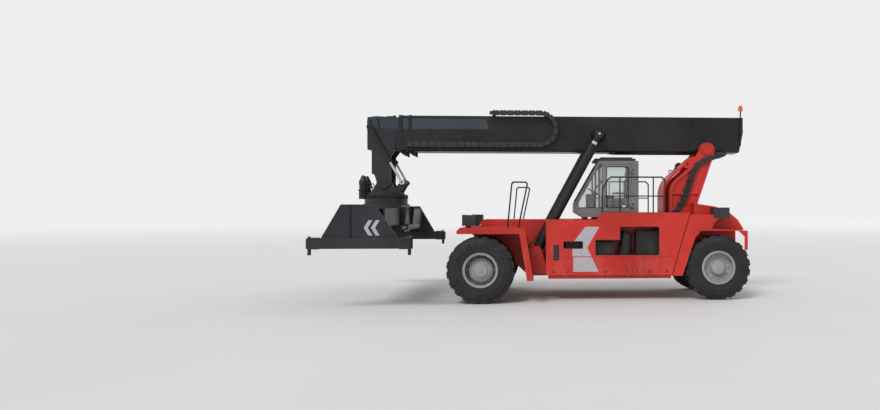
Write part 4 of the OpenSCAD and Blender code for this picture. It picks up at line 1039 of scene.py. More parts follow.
@dataclass
class Tower:
    """Hoses, clamps, pin bolts and bushes of the boom tower."""

    face: float = 0.64
    pitch: float = 0.062
    hose: float = 0.024
    lane_y: float = 0.6663
    route: tuple[tuple[float, float], ...] = (
        (1.04, 2.25), (0.90, 2.40), (0.74, 2.76), (0.60, 3.18), (0.44, 3.48), (0.25, 3.64),
    )
    loop: tuple[tuple[float, ...], ...] = (
        (0.10, 0.665, 0.0, 0.045), (0.24, 0.655, 0.01, 0.075), (0.40, 0.60, 0.03, 0.115), (0.54, 0.50, 0.04, 0.17),
        (0.60, 0.42, 0.05, 0.225),
    )

    def build(self) -> None:
        """Makes all of the tower's fittings."""
        self.build_hoses()
        self.build_loops()
        self.build_pins()

    def path(self, lane: int) -> list[tuple[float, float, float]]:
        """The route of one hose up the tower from the deck; lane 0 is the foremost."""
        x = STEER_X - lane * self.pitch
        return [(x + dx, self.lane_y, z - (0.02 * lane if z > 3.6 else 0)) for dx, z in self.route]

    def build_hoses(self) -> None:
        """Lays the hoses up the tower with their clamps and swaged ends."""
        hoses, clamps = Shape(), Shape()
        for lane in range(3):
            path = self.path(lane)
            hoses.hose(path, self.hose, 12, 6)
            for at, to in ((path[0], path[1]), (path[-1], path[-2])):
                a, b = Vector(at), Vector(to)
                d = (b - a).normalized()
                clamps.rod(a + d * 0.01, a + d * 0.085, 0.0262, 14)
        for (x1, z1), (x0, z0) in zip(self.route[1:3], self.route[2:4]):
            for t in (0.25, 0.85):
                x = STEER_X + x0 + (x1 - x0) * t
                z = z0 + (z1 - z0) * t
                for half, corner, low, high in ((0.022, 0.01, self.face, 0.652), (0.016, 0.008, 0.685, 0.694)):
                    bar = rounded((x - 2 * self.pitch - 0.045, x + 0.045), (z - half, z + half), corner)
                    clamps.prism(bar, "y", low, high)
                for lane in (0.5, 1.5):
                    clamps.bolt((x - lane * self.pitch, 0.694, z), LEFT, 0.008)
        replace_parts(hoses.pair("tower_hose_runs", Look.HOSE), "tower_hoses")
        clamps.pair("tower_hose_clamps", Look.DARK)

    def build_loops(self) -> None:
        """Leads the hoses from the tower's top on to the boom."""
        for side, word in SIDE_WORDS:
            shape = Shape()
            for lane in range(3):
                top = self.path(lane)[-1]
                loop = [(top[0] - back, y - lane * inwards, top[2] + up) for back, y, inwards, up in self.loop]
                shape.hose([top, *loop], self.hose, 12, 6)
            piece = shape.on_side(side).make("boom_foot_hoses_" + word, Look.HOSE, None)
            start, end = (SHIFT - 5.80, 0.66 * side, 3.66), (SHIFT - 6.42, 0.42 * side, 3.86)
            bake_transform(piece)
            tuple(start)
            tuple(end)

    def build_pins(self) -> None:
        """Bolts the pivot pins' keepers, bushes the ears and adds the lifting rings."""
        shape = Shape()
        shape.bolt_ring((-5.9, 0.67, 3.9), LEFT, 0.135, 8, 0.014)
        shape.rod((-5.9, 0.679, 3.9), (-5.9, 0.6935, 3.9), 0.016, 12)
        shape.washer((0.036, 0.060), (0, 0.008), (-5.36, 0.62, 3.52), LEFT, 28)
        shape.turned([(0.0, 0), (0.05, 0), (0.05, 0.01), (0.0, 0.012)], (-5.25, 0.639, 2.70), LEFT, 20)
        shape.pair("tower_pin_bolts", Look.RED)
        ring = Shape()
        for y in (0.38, -0.38):
            _, foot, out, _ = bpy.data.objects["tower"].ray_cast((-5.10 + SHIFT, y, 3.75), (0, 0, -1))
            along = out.cross(Vector(LEFT))
            foot -= Vector((SHIFT, 0, 0))
            loop = [foot + along * 0.045 * math.cos(a) + out * 0.07 * math.sin(a) for a in span(-0.15, 3.29, 12)]
            ring.hose([tuple(point) for point in loop], 0.012, 8, 2)
        ring.make("cover_lifting_rings", Look.DARK)


@dataclass
class Counterweight:
    """Tow pin, louvre bars and bolts at the rear."""

    rear: float = -6.74

    def build(self) -> None:
        """Makes the rear's fittings."""
        x = self.rear - 0.07
        pin = Shape().rod((x, 0, 0.985), (x, 0, 1.232), 0.027, 16)
        grip = ((-0.02, 1.225), (-0.055, 1.265), (0, 1.305), (0.055, 1.265), (0.02, 1.225))
        pin.hose(on_plane(grip, "x", x), 0.009, 8)
        pin.make("tow_pin", Look.ZINC)
        out = Vector((-0.854, 0, 0.520))
        bolts, slats = Shape(), Shape()
        for y in (0.74, 0.96):
            for t in (0.2, 0.8):
                bolts.bolt(self.on_slope(t, y), out, 0.020)
        bolts.pair("weight_bolts", Look.RED)
        for t in span(0.16, 0.84, 5):
            rings = []
            for y in (-0.60, 0.60):
                low, high = self.on_slope(t - 0.045, y), self.on_slope(t + 0.045, y)
                rings.append([low, low + out * 0.004, low + out * 0.018, high + out * 0.004, high])
            slats.loft(rings)
        for y in (-0.63, 0.63):
            ends = ((0.06, -0.014), (0.06, 0.014), (0.94, 0.014), (0.94, -0.014))
            row = [self.on_slope(t, y + w) for t, w in ends]
            slats.loft([row, [p + out * 0.010 for p in row]])
        slats.make("weight_louvres", Look.DARK)

    def on_slope(self, share: float, y: float) -> Vector:
        """A point on the leaning upper part of the rear face; share is 0 at its foot and 1 at its top."""
        return Vector((self.rear + 0.14 * share, y, 1.81 + 0.23 * share))


# ---------------------------------------------------------------- cab and seat


@dataclass
class Cab:
    """Panes, gaskets, wiper, floor mat, joystick and pedals."""

    rear: float = -4.06
    half: float = 0.60
    sill: float = 2.36
    lintel: float = 3.51
    screen_foot: tuple[float, float] = (-2.36, 2.48)
    screen_lean: float = math.atan2(0.640, 1.12)
    pedal: tuple[tuple[float, ...], ...] = ((-2.78, -2.76, 0.035, 2.1505, 2.1505), (-2.68, -2.668, 0.045, 2.285, 2.28))

    def build(self) -> None:
        """Makes all of the cab's fittings."""
        self.build_front()
        self.build_sides()
        self.build_door_trim()
        self.build_inside()

    def on_screen(self, up: float, y: float, out: float) -> Vector:
        """A point on the leaning front screen: metres up it, from the centre line and out of its face."""
        s, c = math.sin(self.screen_lean), math.cos(self.screen_lean)
        return Vector((self.screen_foot[0] - s * up + c * out, y, self.screen_foot[1] + c * up + s * out))

    def build_front(self) -> None:
        """Fits the front pane with its gasket and wiper."""
        pane = rounded((0.052, 1.188), (-0.528, 0.528), 0.03)
        glass = Shape().loft([[self.on_screen(u, v, out) for u, v in pane] for out in (-0.024, -0.018)])
        glass.make("screen_pane", Look.GLASS)
        edge = rounded((0.062, 1.178), (-0.518, 0.518), 0.04)
        gasket = Shape().hose([self.on_screen(u, v, -0.002) for u, v in [*edge, edge[0]]], 0.011, 8, 0)
        for path, radius, sides in (
            (((0.10, 0.0, 0.012), (0.34, 0.11, 0.022), (0.60, 0.22, 0.008)), 0.006, 8),
            (((0.35, 0.30, -0.004), (0.60, 0.22, 0.0), (0.85, 0.14, -0.004)), 0.007, 6),
        ):
            gasket.hose([self.on_screen(*dot) for dot in path], radius, sides)
        gasket.rod(self.on_screen(0.10, 0, -0.005), self.on_screen(0.10, 0, 0.028), 0.020, 14)
        gasket.make("screen_gasket", Look.SEAL)

    def build_sides(self) -> None:
        """Fits the quarter panes of both sides and the gaskets of all fixed panes."""
        front = [(-2.89, 2.36), (-2.46, 2.36), (-2.46, 2.50), (-2.89, 3.25)]
        rear = [(-3.08, 2.36), (-2.93, 2.36), (-2.93, 3.32), (-3.04, 3.51), (-3.08, 3.51)]
        glass, gasket = Shape(), Shape()
        for outline in (front, rear):
            middle = [sum(values) / len(outline) for values in zip(*outline)]
            wide = [tuple(a + math.copysign(0.006, a - m) for a, m in zip(dot, middle)) for dot in outline]
            glass.prism(wide, "y", 0.577, 0.582)
            gasket.edging(outline, "y", self.half, 0.009)
        glass.pair("quarter_panes", Look.GLASS)
        gasket.mirrored()
        gasket.edging(rounded((-3.86, -3.14), (self.sill, self.lintel), 0.04), "y", -self.half, 0.010)
        gasket.edging(rounded((-0.51, 0.51), (self.sill, self.lintel), 0.02), "x", self.rear + 0.002, 0.010)
        gasket.make("cab_gaskets", Look.SEAL)

    def build_door_trim(self) -> None:
        """Fits the door's gasket, lock and hinge bolts."""
        pane = rounded((-3.79, -3.21), (self.sill, 3.44), 0.04)
        Shape().edging(pane, "y", self.half, 0.010).make("door_gasket", Look.SEAL, "door")
        metal = Shape().latch((-3.178, self.half, 2.30), 0.022, 0.012)
        for z in (2.36, 3.27):
            for dz in (0.045, 0.085):
                metal.bolt((-3.83, 0.6333, z + dz), LEFT, 0.006)
        for x in span(-3.78, -3.22, 5):
            metal.bolt((x, self.half, 2.275), LEFT, 0.005)
        metal.make("door_metal", Look.ZINC, "door")

    def build_inside(self) -> None:
        """Adds the mat, the pedals, the joystick and the switch row."""
        mat = Shape()
        for y in span(-0.5, 0.5, 26):
            mat.block((-3.42, -2.66), (y - 0.014, y + 0.014), (2.1505, 2.158), 0.004)
        mat.make("floor_mat", Look.SEAL)
        stick = Shape()
        for r, z in ((0.036, 2.6705), (0.030, 2.684), (0.023, 2.698)):
            stick.turned([(0.006, 0), (r, 0), (r - 0.004, 0.013), (0.006, 0.013)], (-3.25, -0.36, z), UP, 20)
        stick.hose([(-3.25, -0.36, 2.70), (-3.248, -0.358, 2.76), (-3.242, -0.356, 2.80)], 0.008, 8)
        grip = (
            (0.014, 2.79), (0.021, 2.80), (0.019, 2.83), (0.021, 2.86), (0.024, 2.885), (0.018, 2.905), (0.006, 2.912),
        )
        stick.loft([circle((-3.242 - 0.10 * (z - 2.80), -0.356, z), (-0.1, 0, 1), r, 16) for r, z in grip])
        for i, y in enumerate(span(-0.405, -0.315, 4)):
            stick.block((-3.44, -3.41), (y - 0.008, y + 0.008), (2.6695, 2.676 + 0.001 * i), 0.002)
        for y in (-0.15, 0.15):
            stick.loft([
                [(back, y - half, high), (back, y + half, high), (ahead, y + half, low), (ahead, y - half, low)]
                for back, ahead, half, high, low in self.pedal
            ])
        stick.make("cab_controls", Look.PLASTIC)


@dataclass
class Seat:
    """Sprung seat: its frame, and cushion, back, headrest and armrests padded in woven cloth."""

    x: float = -3.70
    voxel: float = 0.010
    cap: float = 0.012
    frames: int = 20
    cushion_seam: float = 0.135
    back_seam: float = 0.130
    back_rows: tuple[float, ...] = (2.76, 2.90, 3.04)

    def build(self) -> None:
        """Makes the frame and the five pads."""
        x = self.x
        frame_shape = Shape()
        for i in range(6):
            z = 2.165 + i * 0.044
            frame_shape.prism(rounded((x + 0.004, x + 0.246), (-0.146, 0.146), 0.03), "z", z, z + 0.024)
            frame_shape.prism(rounded((x + 0.016, x + 0.234), (-0.134, 0.134), 0.03), "z", z + 0.022, z + 0.046)
        frame_shape.prism(rounded((x, x + 0.25), (-0.15, 0.15), 0.012), "z", 2.15, 2.168)
        frame_shape.prism(rounded((x - 0.08, x + 0.38), (-0.235, 0.235), 0.03), "z", 2.425, 2.492)
        for y in (-0.09, 0.09):
            frame_shape.rod((x - 0.10, y, 3.12), (x - 0.105, y, 3.22), 0.008, 10)
        for side in SIDES:
            y = side * 0.265
            frame_shape.rod((x - 0.09, side * 0.235, 2.70), (x - 0.09, side * 0.285, 2.70), 0.022, 14)
            frame_shape.hose([(x - 0.09, y, 2.70), (x - 0.05, y, 2.735), (x, y, 2.744), (x + 0.2, y, 2.744)], 0.010, 8)
        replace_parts(frame_shape.make("seat_frame", Look.PLASTIC), "cab_seat")
        self.pad("seat_cushion", (x - 0.085, x + 0.385), (-0.238, 0.238), (2.500, 2.595), 0.05, self.channels_flat)
        self.pad("seat_back", (x - 0.150, x - 0.052), (-0.228, 0.228), (2.622, 3.145), 0.05, self.channels_up)
        self.pad("seat_headrest", (x - 0.140, x - 0.070), (-0.128, 0.128), (3.175, 3.328), 0.035, None)
        for side, word in SIDE_WORDS:
            y = tuple(sorted((side * 0.244, side * 0.286)))
            self.pad("seat_armrest_" + word, (x - 0.055, x + 0.275), y, (2.742, 2.776), 0.016, None)

    def channels_flat(self, point: Vector) -> float:
        """Depth of the cushion's sewn channels at a point.

        Args:
            point: a point of the mesh.

        Returns:
            The depth in metres.
        """
        near = [abs(abs(point.y) - self.cushion_seam)]
        if abs(point.y) < self.cushion_seam:
            near.append(abs(point.x - SHIFT - self.x - 0.15))
        return self.sewn(near) * (point.z > 2.56)

    def channels_up(self, point: Vector) -> float:
        """Depth of the back's sewn channels at a point.

        Args:
            point: a point of the mesh.

        Returns:
            The depth in metres.
        """
        near = [abs(abs(point.y) - self.back_seam)]
        if abs(point.y) < self.back_seam:
            near += [abs(point.z - z) for z in self.back_rows]
        return self.sewn(near) * (point.x - SHIFT > self.x - 0.10)

    @staticmethod
    def sewn(near: Sequence[float]) -> float:
        """Depth of a 7 mm deep and 8 mm wide channel, by the distances to the seams."""
        return 0.007 * math.exp(-((min(near) / 0.008) ** 2))

    def pad(
        self, name: str, x: Point, y: Point, z: Point, corner: float, channels: Callable[[Vector], float] | None
    ) -> None:
        """Makes one padded form, swells it as cloth and sews its channels.

        Args:
            name: its name.
            x: its limits along X.
            y: its limits along Y.
            z: its limits along Z.
            corner: radius of its round corners.
            channels: gives the depth of the sewn channels at a point.
        """
        limits = [x, y, z]
        thin = min(range(3), key=lambda i: limits[i][1] - limits[i][0])
        low, high = limits.pop(thin)
        rings = []
        for t in (0.0, 0.12, 0.35, 0.65, 0.88, 1.0):
            inset = 0.35 * (high - low) * (abs(2 * t - 1) ** 3)
            across = [(a + inset, b - inset) for a, b in limits]
            outline = rounded(*across, max(corner - inset, 0.006), 5)
            rings.append(on_plane(outline, "xyz"[thin], low + (high - low) * t))
        piece = Shape().loft(rings).make(name, Look.CLOTH)
        self.swell(piece)
        mesh = piece.data
        if channels:
            for vertex in mesh.vertices:
                vertex.co -= vertex.normal * channels(vertex.co)
        mesh.polygons.foreach_set("use_smooth", [True] * len(mesh.polygons))
        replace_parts(piece, "cab_seat")

    def swell(self, piece: bpy.types.Object) -> None:
        """Remeshes a pad, blows it up as cloth and caps how far it moves.

        Args:
            piece: the pad.
        """
        remesh = piece.modifiers.new("even", "REMESH")
        remesh.mode = "VOXEL"
        remesh.voxel_size = min(self.voxel, 0.22 * min(piece.dimensions))
        self.apply(piece)
        rest = [v.co.copy() for v in piece.data.vertices]
        cloth = piece.modifiers.new("cloth", "CLOTH")
        cloth.settings.quality = 3
        cloth.settings.use_pressure = True
        cloth.settings.uniform_pressure_force = 4.0
        cloth.settings.tension_stiffness = 20
        cloth.settings.effector_weights.gravity = 0
        cloth.point_cache.frame_start, cloth.point_cache.frame_end = 1, self.frames
        for moment in range(1, self.frames + 1):
            bpy.context.scene.frame_set(moment)
        self.apply(piece)
        bpy.context.scene.frame_set(1)
        for vertex, start in zip(piece.data.vertices, rest):
            move = vertex.co - start
            if move.length > self.cap:
                vertex.co = start + move * (self.cap / move.length)
        finer = piece.modifiers.new("finer", "SUBSURF")
        finer.levels = finer.render_levels = 1
        self.apply(piece)

    @staticmethod
    def apply(piece: bpy.types.Object) -> None:
        """Turns the modified mesh into the piece's own.

        Args:
            piece: the pad.
        """
        shown = piece.evaluated_get(bpy.context.evaluated_depsgraph_get())
        made = bpy.data.meshes.new_from_object(shown)
        piece.modifiers.clear()
        piece.data = made


# ---------------------------------------------------------------- boom and cylinders


@dataclass
class Boom:
    """Seams, collar bolts, painted sheen band, chain details and fittings of both booms."""

    rear: float = -6.93
    side: float = 0.36
    step: float = 0.352
    cheek: float = 0.4005
    seam: float = 4.435
    inner: float = 0.32
    valve_y: tuple[float, ...] = (-0.11, -0.035, 0.035, 0.11)
    bar: tuple[tuple[float, float], ...] = ((-0.016, 0.0602), (0.016, 0.0602), (0.016, 0.066), (-0.016, 0.066))

    def build(self) -> None:
        """Makes all of the booms' fittings."""
        self.build_seams()
        self.build_sheen_bands()
        self.build_bolts()
        self.build_chain()
        self.build_nose()

    def build_seams(self) -> None:
        """Lays the weld beads along the seams and round the doublers."""
        weld = Shape()
        seam = self.seam + 0.002
        weld.hose(on_plane(((-6.90, seam), (1.93, seam)), "y", self.step + 0.001), 0.005, BEAD, 0)
        x, _, z = LIFT_HEAD
        boss = [(x - 0.205 * math.cos(a), z + 0.205 * math.sin(a)) for a in span(0, math.tau, 33)]
        weld.hose(on_plane(boss, "y", self.side + 0.017), 0.006, BEAD, 0)
        weld.hose(on_plane(((-5.46, 3.91), (-5.57, 4.73), (-6.18, 4.73)), "y", self.cheek), 0.004, BEAD, 0)
        weld.pair("boom_welds", Look.BOOM, "boom")
        tip = Shape().hose(on_plane(((2.34, seam), (3.08, seam)), "y", self.inner - 0.007), 0.004, BEAD, 0)
        tip.pair("inner_boom_welds", Look.NOSE, "boom_inner")

    def build_sheen_bands(self) -> None:
        """Lays the painted sheen band along the front half of the boom's side and on the inner boom's tip: a paler
        slate strip that stands in for the sky light caught by the booms' upper faces.
        """
        band, tip = Shape(), Shape()
        for shape, face, outline in (
            (band, self.step, [(-0.09, 4.446), (-0.03, 4.72), (1.94, 4.72), (1.94, 4.446)]),
            (band, self.step, [(2.02, 4.446), (2.02, 4.72), (2.17, 4.72), (2.17, 4.446)]),
            (tip, self.inner - 0.008, [(2.275, 4.446), (2.275, 4.72), (2.80, 4.72), (2.765, 4.446)]),
            (tip, self.inner + 0.026, [(2.80, 4.446), (2.845, 4.708), (3.04, 4.708), (3.09, 4.66), (3.09, 4.446)]),
        ):
            shape.prism(outline, "y", *(face + d for d in SHEEN_BAND))
        band.pair("boom_sheen_band", Look.SHEEN_BAND, "boom")
        tip.pair("inner_boom_sheen_band", Look.SHEEN_BAND, "boom_inner")

    def build_bolts(self) -> None:
        """Bolts the collars' wear pads, the rear cover and the pivot's cheeks."""
        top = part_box("outer_boom")[1][2]
        bolts = Shape()
        for x in (1.98, 2.225):
            for y in span(-0.24, 0.24, 5):
                bolts.bolt((x, y, top), UP, 0.014)
        for x, z in ((-6.05, 4.60), (-5.72, 4.60), (-6.10, 4.05), (-5.60, 4.30)):
            for side in SIDES:
                bolts.bolt((x, side * self.cheek, z), (0, side, 0), 0.014)
        for y in (-0.28, 0.28):
            for z in (4.40, 4.55, 4.70):
                bolts.bolt((self.rear + 0.060, y, z), (-1, 0, 0), 0.012)
        bolts.make("boom_bolts", Look.BOOM, "boom")
        # Hydraulic lines from the pivot along the underside
        run = ((-6.40, 3.862), (-6.35, 3.835), (-6.2, 3.832), (-3.5, 3.832), (-3.4, 3.835), (-3.35, 3.862))
        lines = Shape()
        for y in (-0.20, -0.14, 0.14, 0.20):
            lines.hose(on_plane(run, "y", y), 0.014, 8, 2)
        lines.make("boom_lines", Look.HOSE, "boom")

    def build_chain(self) -> None:
        """Lays side plates, pins and cross bars on the energy chain's links."""
        front, low, radius, bend, end, pitch = 2.05, 4.03, 0.42, -1.45, -0.10, 0.19
        lower, turn = front - bend, math.pi * radius
        total = lower + turn + end - bend
        bar_outlines = [[(u + du, v) for du, v in self.bar] for u in (-0.05, 0.05)]
        pins, plates = Shape(), Shape()
        for i in range(int(total / pitch)):
            s = (i + 0.5) * pitch
            if s < lower:
                x, z, lean = front - s, low, math.pi
            elif s < lower + turn:
                a = (s - lower) / radius
                x, z, lean = bend - radius * math.sin(a), low + radius * (1 - math.cos(a)), math.pi - a
            else:
                x, z, lean = bend + s - lower - turn, low + 2 * radius, 0.0
            c, d = math.cos(lean), math.sin(lean)
            oval, *bars = (
                [(x + u * c - v * d, z + u * d + v * c) for u, v in outline]
                for outline in (rounded((-0.074, 0.074), (-0.046, 0.046), 0.022), *bar_outlines)
            )
            for y, out in ((0.5102, 1), (0.3798, -1)):
                plates.prism(oval, "y", *sorted((y, y + out * 0.004)))
                for shift in (-0.052, 0.052):
                    at = (x + shift * c, y + out * 0.003, z + shift * d)
                    pins.rod(at, (at[0], at[1] + out * 0.006, at[2]), 0.013, 12)
            for bar in bars:
                plates.prism(bar, "y", 0.392, 0.498)
        plates.make("chain_plates", Look.PLASTIC, "boom")
        pins.make("chain_pins", Look.DARK, "boom")

    def build_nose(self) -> None:
        """Valve blocks, hose loops and bolts at the inner boom's nose."""
        valves, hoses, bolts = Shape(), Shape(), Shape()
        valves.block((2.40, 2.62), (-0.16, 0.16), (4.7562, 4.80), 0.01)
        for y in self.valve_y:
            valves.rod((2.44, y, 4.798), (2.44, y, 4.83), 0.018, 12)
            valves.rod((2.62, y, 4.778), (2.665, y, 4.778), 0.016, 12)
        valves.make("nose_valves", Look.DARK, "boom_inner")
        for lane, y in enumerate(self.valve_y):
            hoses.hose([
                (2.66, y, 4.778), (2.76, y, 4.785), (2.92, y * 1.2, 4.785), (3.04, y * 1.3, 4.782 - 0.004 * lane),
                (3.085, y * 1.3, 4.762),
            ], 0.013, 8)
        for x, z in ((2.86, 4.42), (3.02, 4.42), (2.90, 4.65), (3.03, 4.60)):
            bolts.bolt((x, self.inner + 0.026, z), LEFT, 0.013)
        for x in (2.42, 2.92):
            for z in (3.92, 4.10):
                bolts.bolt((x, 0.345, z), LEFT, 0.016)
        hoses.make("nose_hoses", Look.HOSE, "boom_inner")
        bolts.pair("nose_bolts", Look.NOSE, "boom_inner")
        cover = Shape().prism(rounded((-0.297, 0.297), (3.917, 4.733), 0.028), "x", 3.068, 3.080)
        cover.prism(rounded((-0.19, 0.19), (4.06, 4.59), 0.05), "x", 3.0795, 3.0865)
        for z in span(4.10, 4.55, 5):
            for y in (-0.165, 0.165):
                cover.bolt((3.0865, y, z), AHEAD, 0.011)
        cover.make("nose_cover", Look.NOSE, "boom_inner")


@dataclass
class Cylinder:
    """Gland bolts, wiper ring, pipe nuts and hose of one cylinder."""

    name: str
    body: str
    side: int
    foot: tuple[float, float, float]
    head: tuple[float, float, float]
    radius: float
    gland: float
    pipe: bool

    def at(self, along: float, out: float, across: float) -> Vector:
        """A point by its place along the cylinder.

        Args:
            along: metres from the foot.
            out: metres square to it in the machine's plane, forwards and up.
            across: metres towards the outside.

        Returns:
            The point.
        """
        foot, head = Vector(self.foot), Vector(self.head)
        u = (head - foot).normalized()
        v = Vector((u.z, 0, -u.x))
        return foot + u * along + v * out + Vector((0, across, 0))

    def build(self) -> None:
        """Makes the gland bolts and the wiper ring, and the pipe's nuts, bolts and hose where there is one."""
        along = self.at(1, 0, 0) - self.at(0, 0, 0)
        metal, dark = Shape(), Shape()
        metal.bolt_ring(self.at(self.gland, 0, 0), along, self.radius * 0.86, 12, self.radius * 0.075)
        wiper = ((0.66, 0), (0.74, 0), (0.70, 0.012), (0.66, 0.012))
        dark.turned([(self.radius * r, h) for r, h in wiper], self.at(self.gland, 0, 0), along, 36)
        if self.pipe:
            bend = self.radius + 0.024
            for start, end in ((0.255, 0.300), (self.gland - 0.14, self.gland - 0.085)):
                metal.rod(self.at(start, bend, 0), self.at(end, bend, 0), 0.023, 6)
            for s in (0.262, self.gland / 2 + 0.002, self.gland - 0.128):
                for across in (-0.018, 0.018):
                    metal.bolt(self.at(s + 0.024, bend + 0.023, across), self.at(0, 1, 0) - self.at(0, 0, 0), 0.008)
            loop = ((0.21, -0.01, -0.02), (0.20, 0.05, -0.03), (0.10, 0.10, -0.04), (0.0, 0.05, -0.05))
            dark.hose([self.at(s, self.radius + out, across) for s, out, across in loop], 0.018, 10)
        metal.on_side(self.side).make(self.name + "_gland_bolts", Look.DARK, self.body)
        dark.on_side(self.side).make(self.name + "_wiper_ring", Look.SEAL, self.body)


@dataclass
class Cylinders:
    """All four hydraulic cylinders and the caps over the lift rods' eyes."""

    damp_head: tuple[float, float, float] = (3.01, 0.43, 4.48)
    damp_eye: tuple[float, float, float] = (2.18, 0.43, 3.03)

    def build(self) -> None:
        """Dresses each cylinder and its pins."""
        for side, word in SIDE_WORDS:
            for kind, foot, head, radius, gland in (
                ("lift", LIFT_FOOT, LIFT_HEAD, 0.14, 3.188),
                ("damping", self.damp_head, self.damp_eye, 0.068, 1.06),
            ):
                Cylinder(f"{kind}_{word}", kind + "_barrels", side, foot, head, radius, gland, kind == "lift").build()
        self.build_eyes()

    def build_eyes(self) -> None:
        """Covers the lift rods' eyes with dark cast heads that show the bright pins."""
        x, _, z = LIFT_HEAD
        head = Vector(LIFT_HEAD)
        down = (Vector(LIFT_FOOT) - head).normalized()
        cast = Shape()
        for heights in ((0.664, 0.6655), (0.8535, 0.856)):
            cast.washer((0.080, 0.119), heights, (x, 0, z), LEFT, 48)
        cast.turned([(0.1182, 0.666), (0.1235, 0.668), (0.1235, 0.852), (0.1182, 0.854)], (x, 0, z), LEFT, 48)
        neck = ((0.085, 0.100), (0.11, 0.104), (0.20, 0.094), (0.23, 0.0865))
        cast.loft([circle(head + down * s, down, r, 40) for s, r in neck])
        cast.turned(
            [(0.034, 0.8845), (0.0752, 0.8845), (0.0752, 0.858), (0.0765, 0.858), (0.0765, 0.8875), (0.034, 0.8885)],
            (x, 0, z), LEFT, 40,
        )
        cast.pair("lift_eye_castings", Look.BOOM, "lift_rods")
        for name, body, look, pin, y, *ring in (
            ("lift_pin_bolts", "lift_rods", Look.BOOM, LIFT_HEAD, 0.8885, 0.055, 6, 0.007),
            ("lift_foot_bolts", "chassis", Look.ZINC, LIFT_FOOT, 0.937, 0.055, 4, 0.010),
            ("damping_pin_bolts", "yoke", Look.DARK, self.damp_eye, 0.4803, 0.0, 1, 0.018),
        ):
            Shape().bolt_ring((pin[0], y, pin[2]), LEFT, *ring).pair(name, look, body)


# ---------------------------------------------------------------- rotator, spreader, axles and wheels


@dataclass
class Rotator:
    """Bolt rings, gear teeth, motor ports and hoses of the rotator and its yoke."""

    x: float = SLEW_X
    top: float = 2.76
    motor_out: float = 0.56
    teeth: int = 96

    def build(self) -> None:
        """Makes all of the rotator's fittings."""
        yoke = Shape().bolt_ring((self.x, 0, self.top), UP, 0.455, 24, 0.015)
        for side in SIDES:
            yoke.bolt_ring((self.x, side * 0.3605, 3.07), (0, side, 0), 0.080, 6, 0.011)
        yoke.make("yoke_bolts", Look.DARK, "yoke")
        gear = Shape()
        for i in range(self.teeth):
            a = math.tau * i / self.teeth
            out, along = Vector((math.cos(a), math.sin(a), 0)), Vector((-math.sin(a), math.cos(a), 0))
            tooth = [out * r + along * w for r, w in ((0.556, -0.011), (0.573, -0.006), (0.573, 0.006), (0.556, 0.011))]
            gear.loft([[Vector((self.x, 0, z)) + dot for dot in tooth] for z in (2.606, 2.672)])
        gear.make("gear_ring", Look.DARK, "rotator")
        motors, hoses = Shape(), Shape()
        for side in SIDES:
            x, y = self.x + self.motor_out, 0.22 * side
            for z, *ring in ((2.835, 0.1135, 8, 0.009), (3.06, 0.095, 6, 0.008)):
                motors.bolt_ring((x, y, z), UP, *ring)
            for dz in (0.06, 0.14):
                motors.rod((x - 0.095, y, 2.86 + dz), (x - 0.125, y, 2.86 + dz), 0.018, 12)
                hoses.hose([
                    (x - 0.12, y, 2.86 + dz), (x - 0.17, y, 2.865 + dz), (x - 0.215, y * 0.85, 2.84 + dz * 0.7),
                    (x - 0.225, y * 0.6, 2.80), (x - 0.165, y * 0.35, 2.745),
                ], 0.013, 8)
        motors.make("motor_fittings", Look.DARK, "yoke")
        hoses.make("motor_hoses", Look.HOSE, "yoke")
        lower = Shape().bolt_ring((self.x, 0, 2.45), UP, 0.582, 36, 0.012)
        lower.make("rotator_base_bolts", Look.DARK, "spreader")


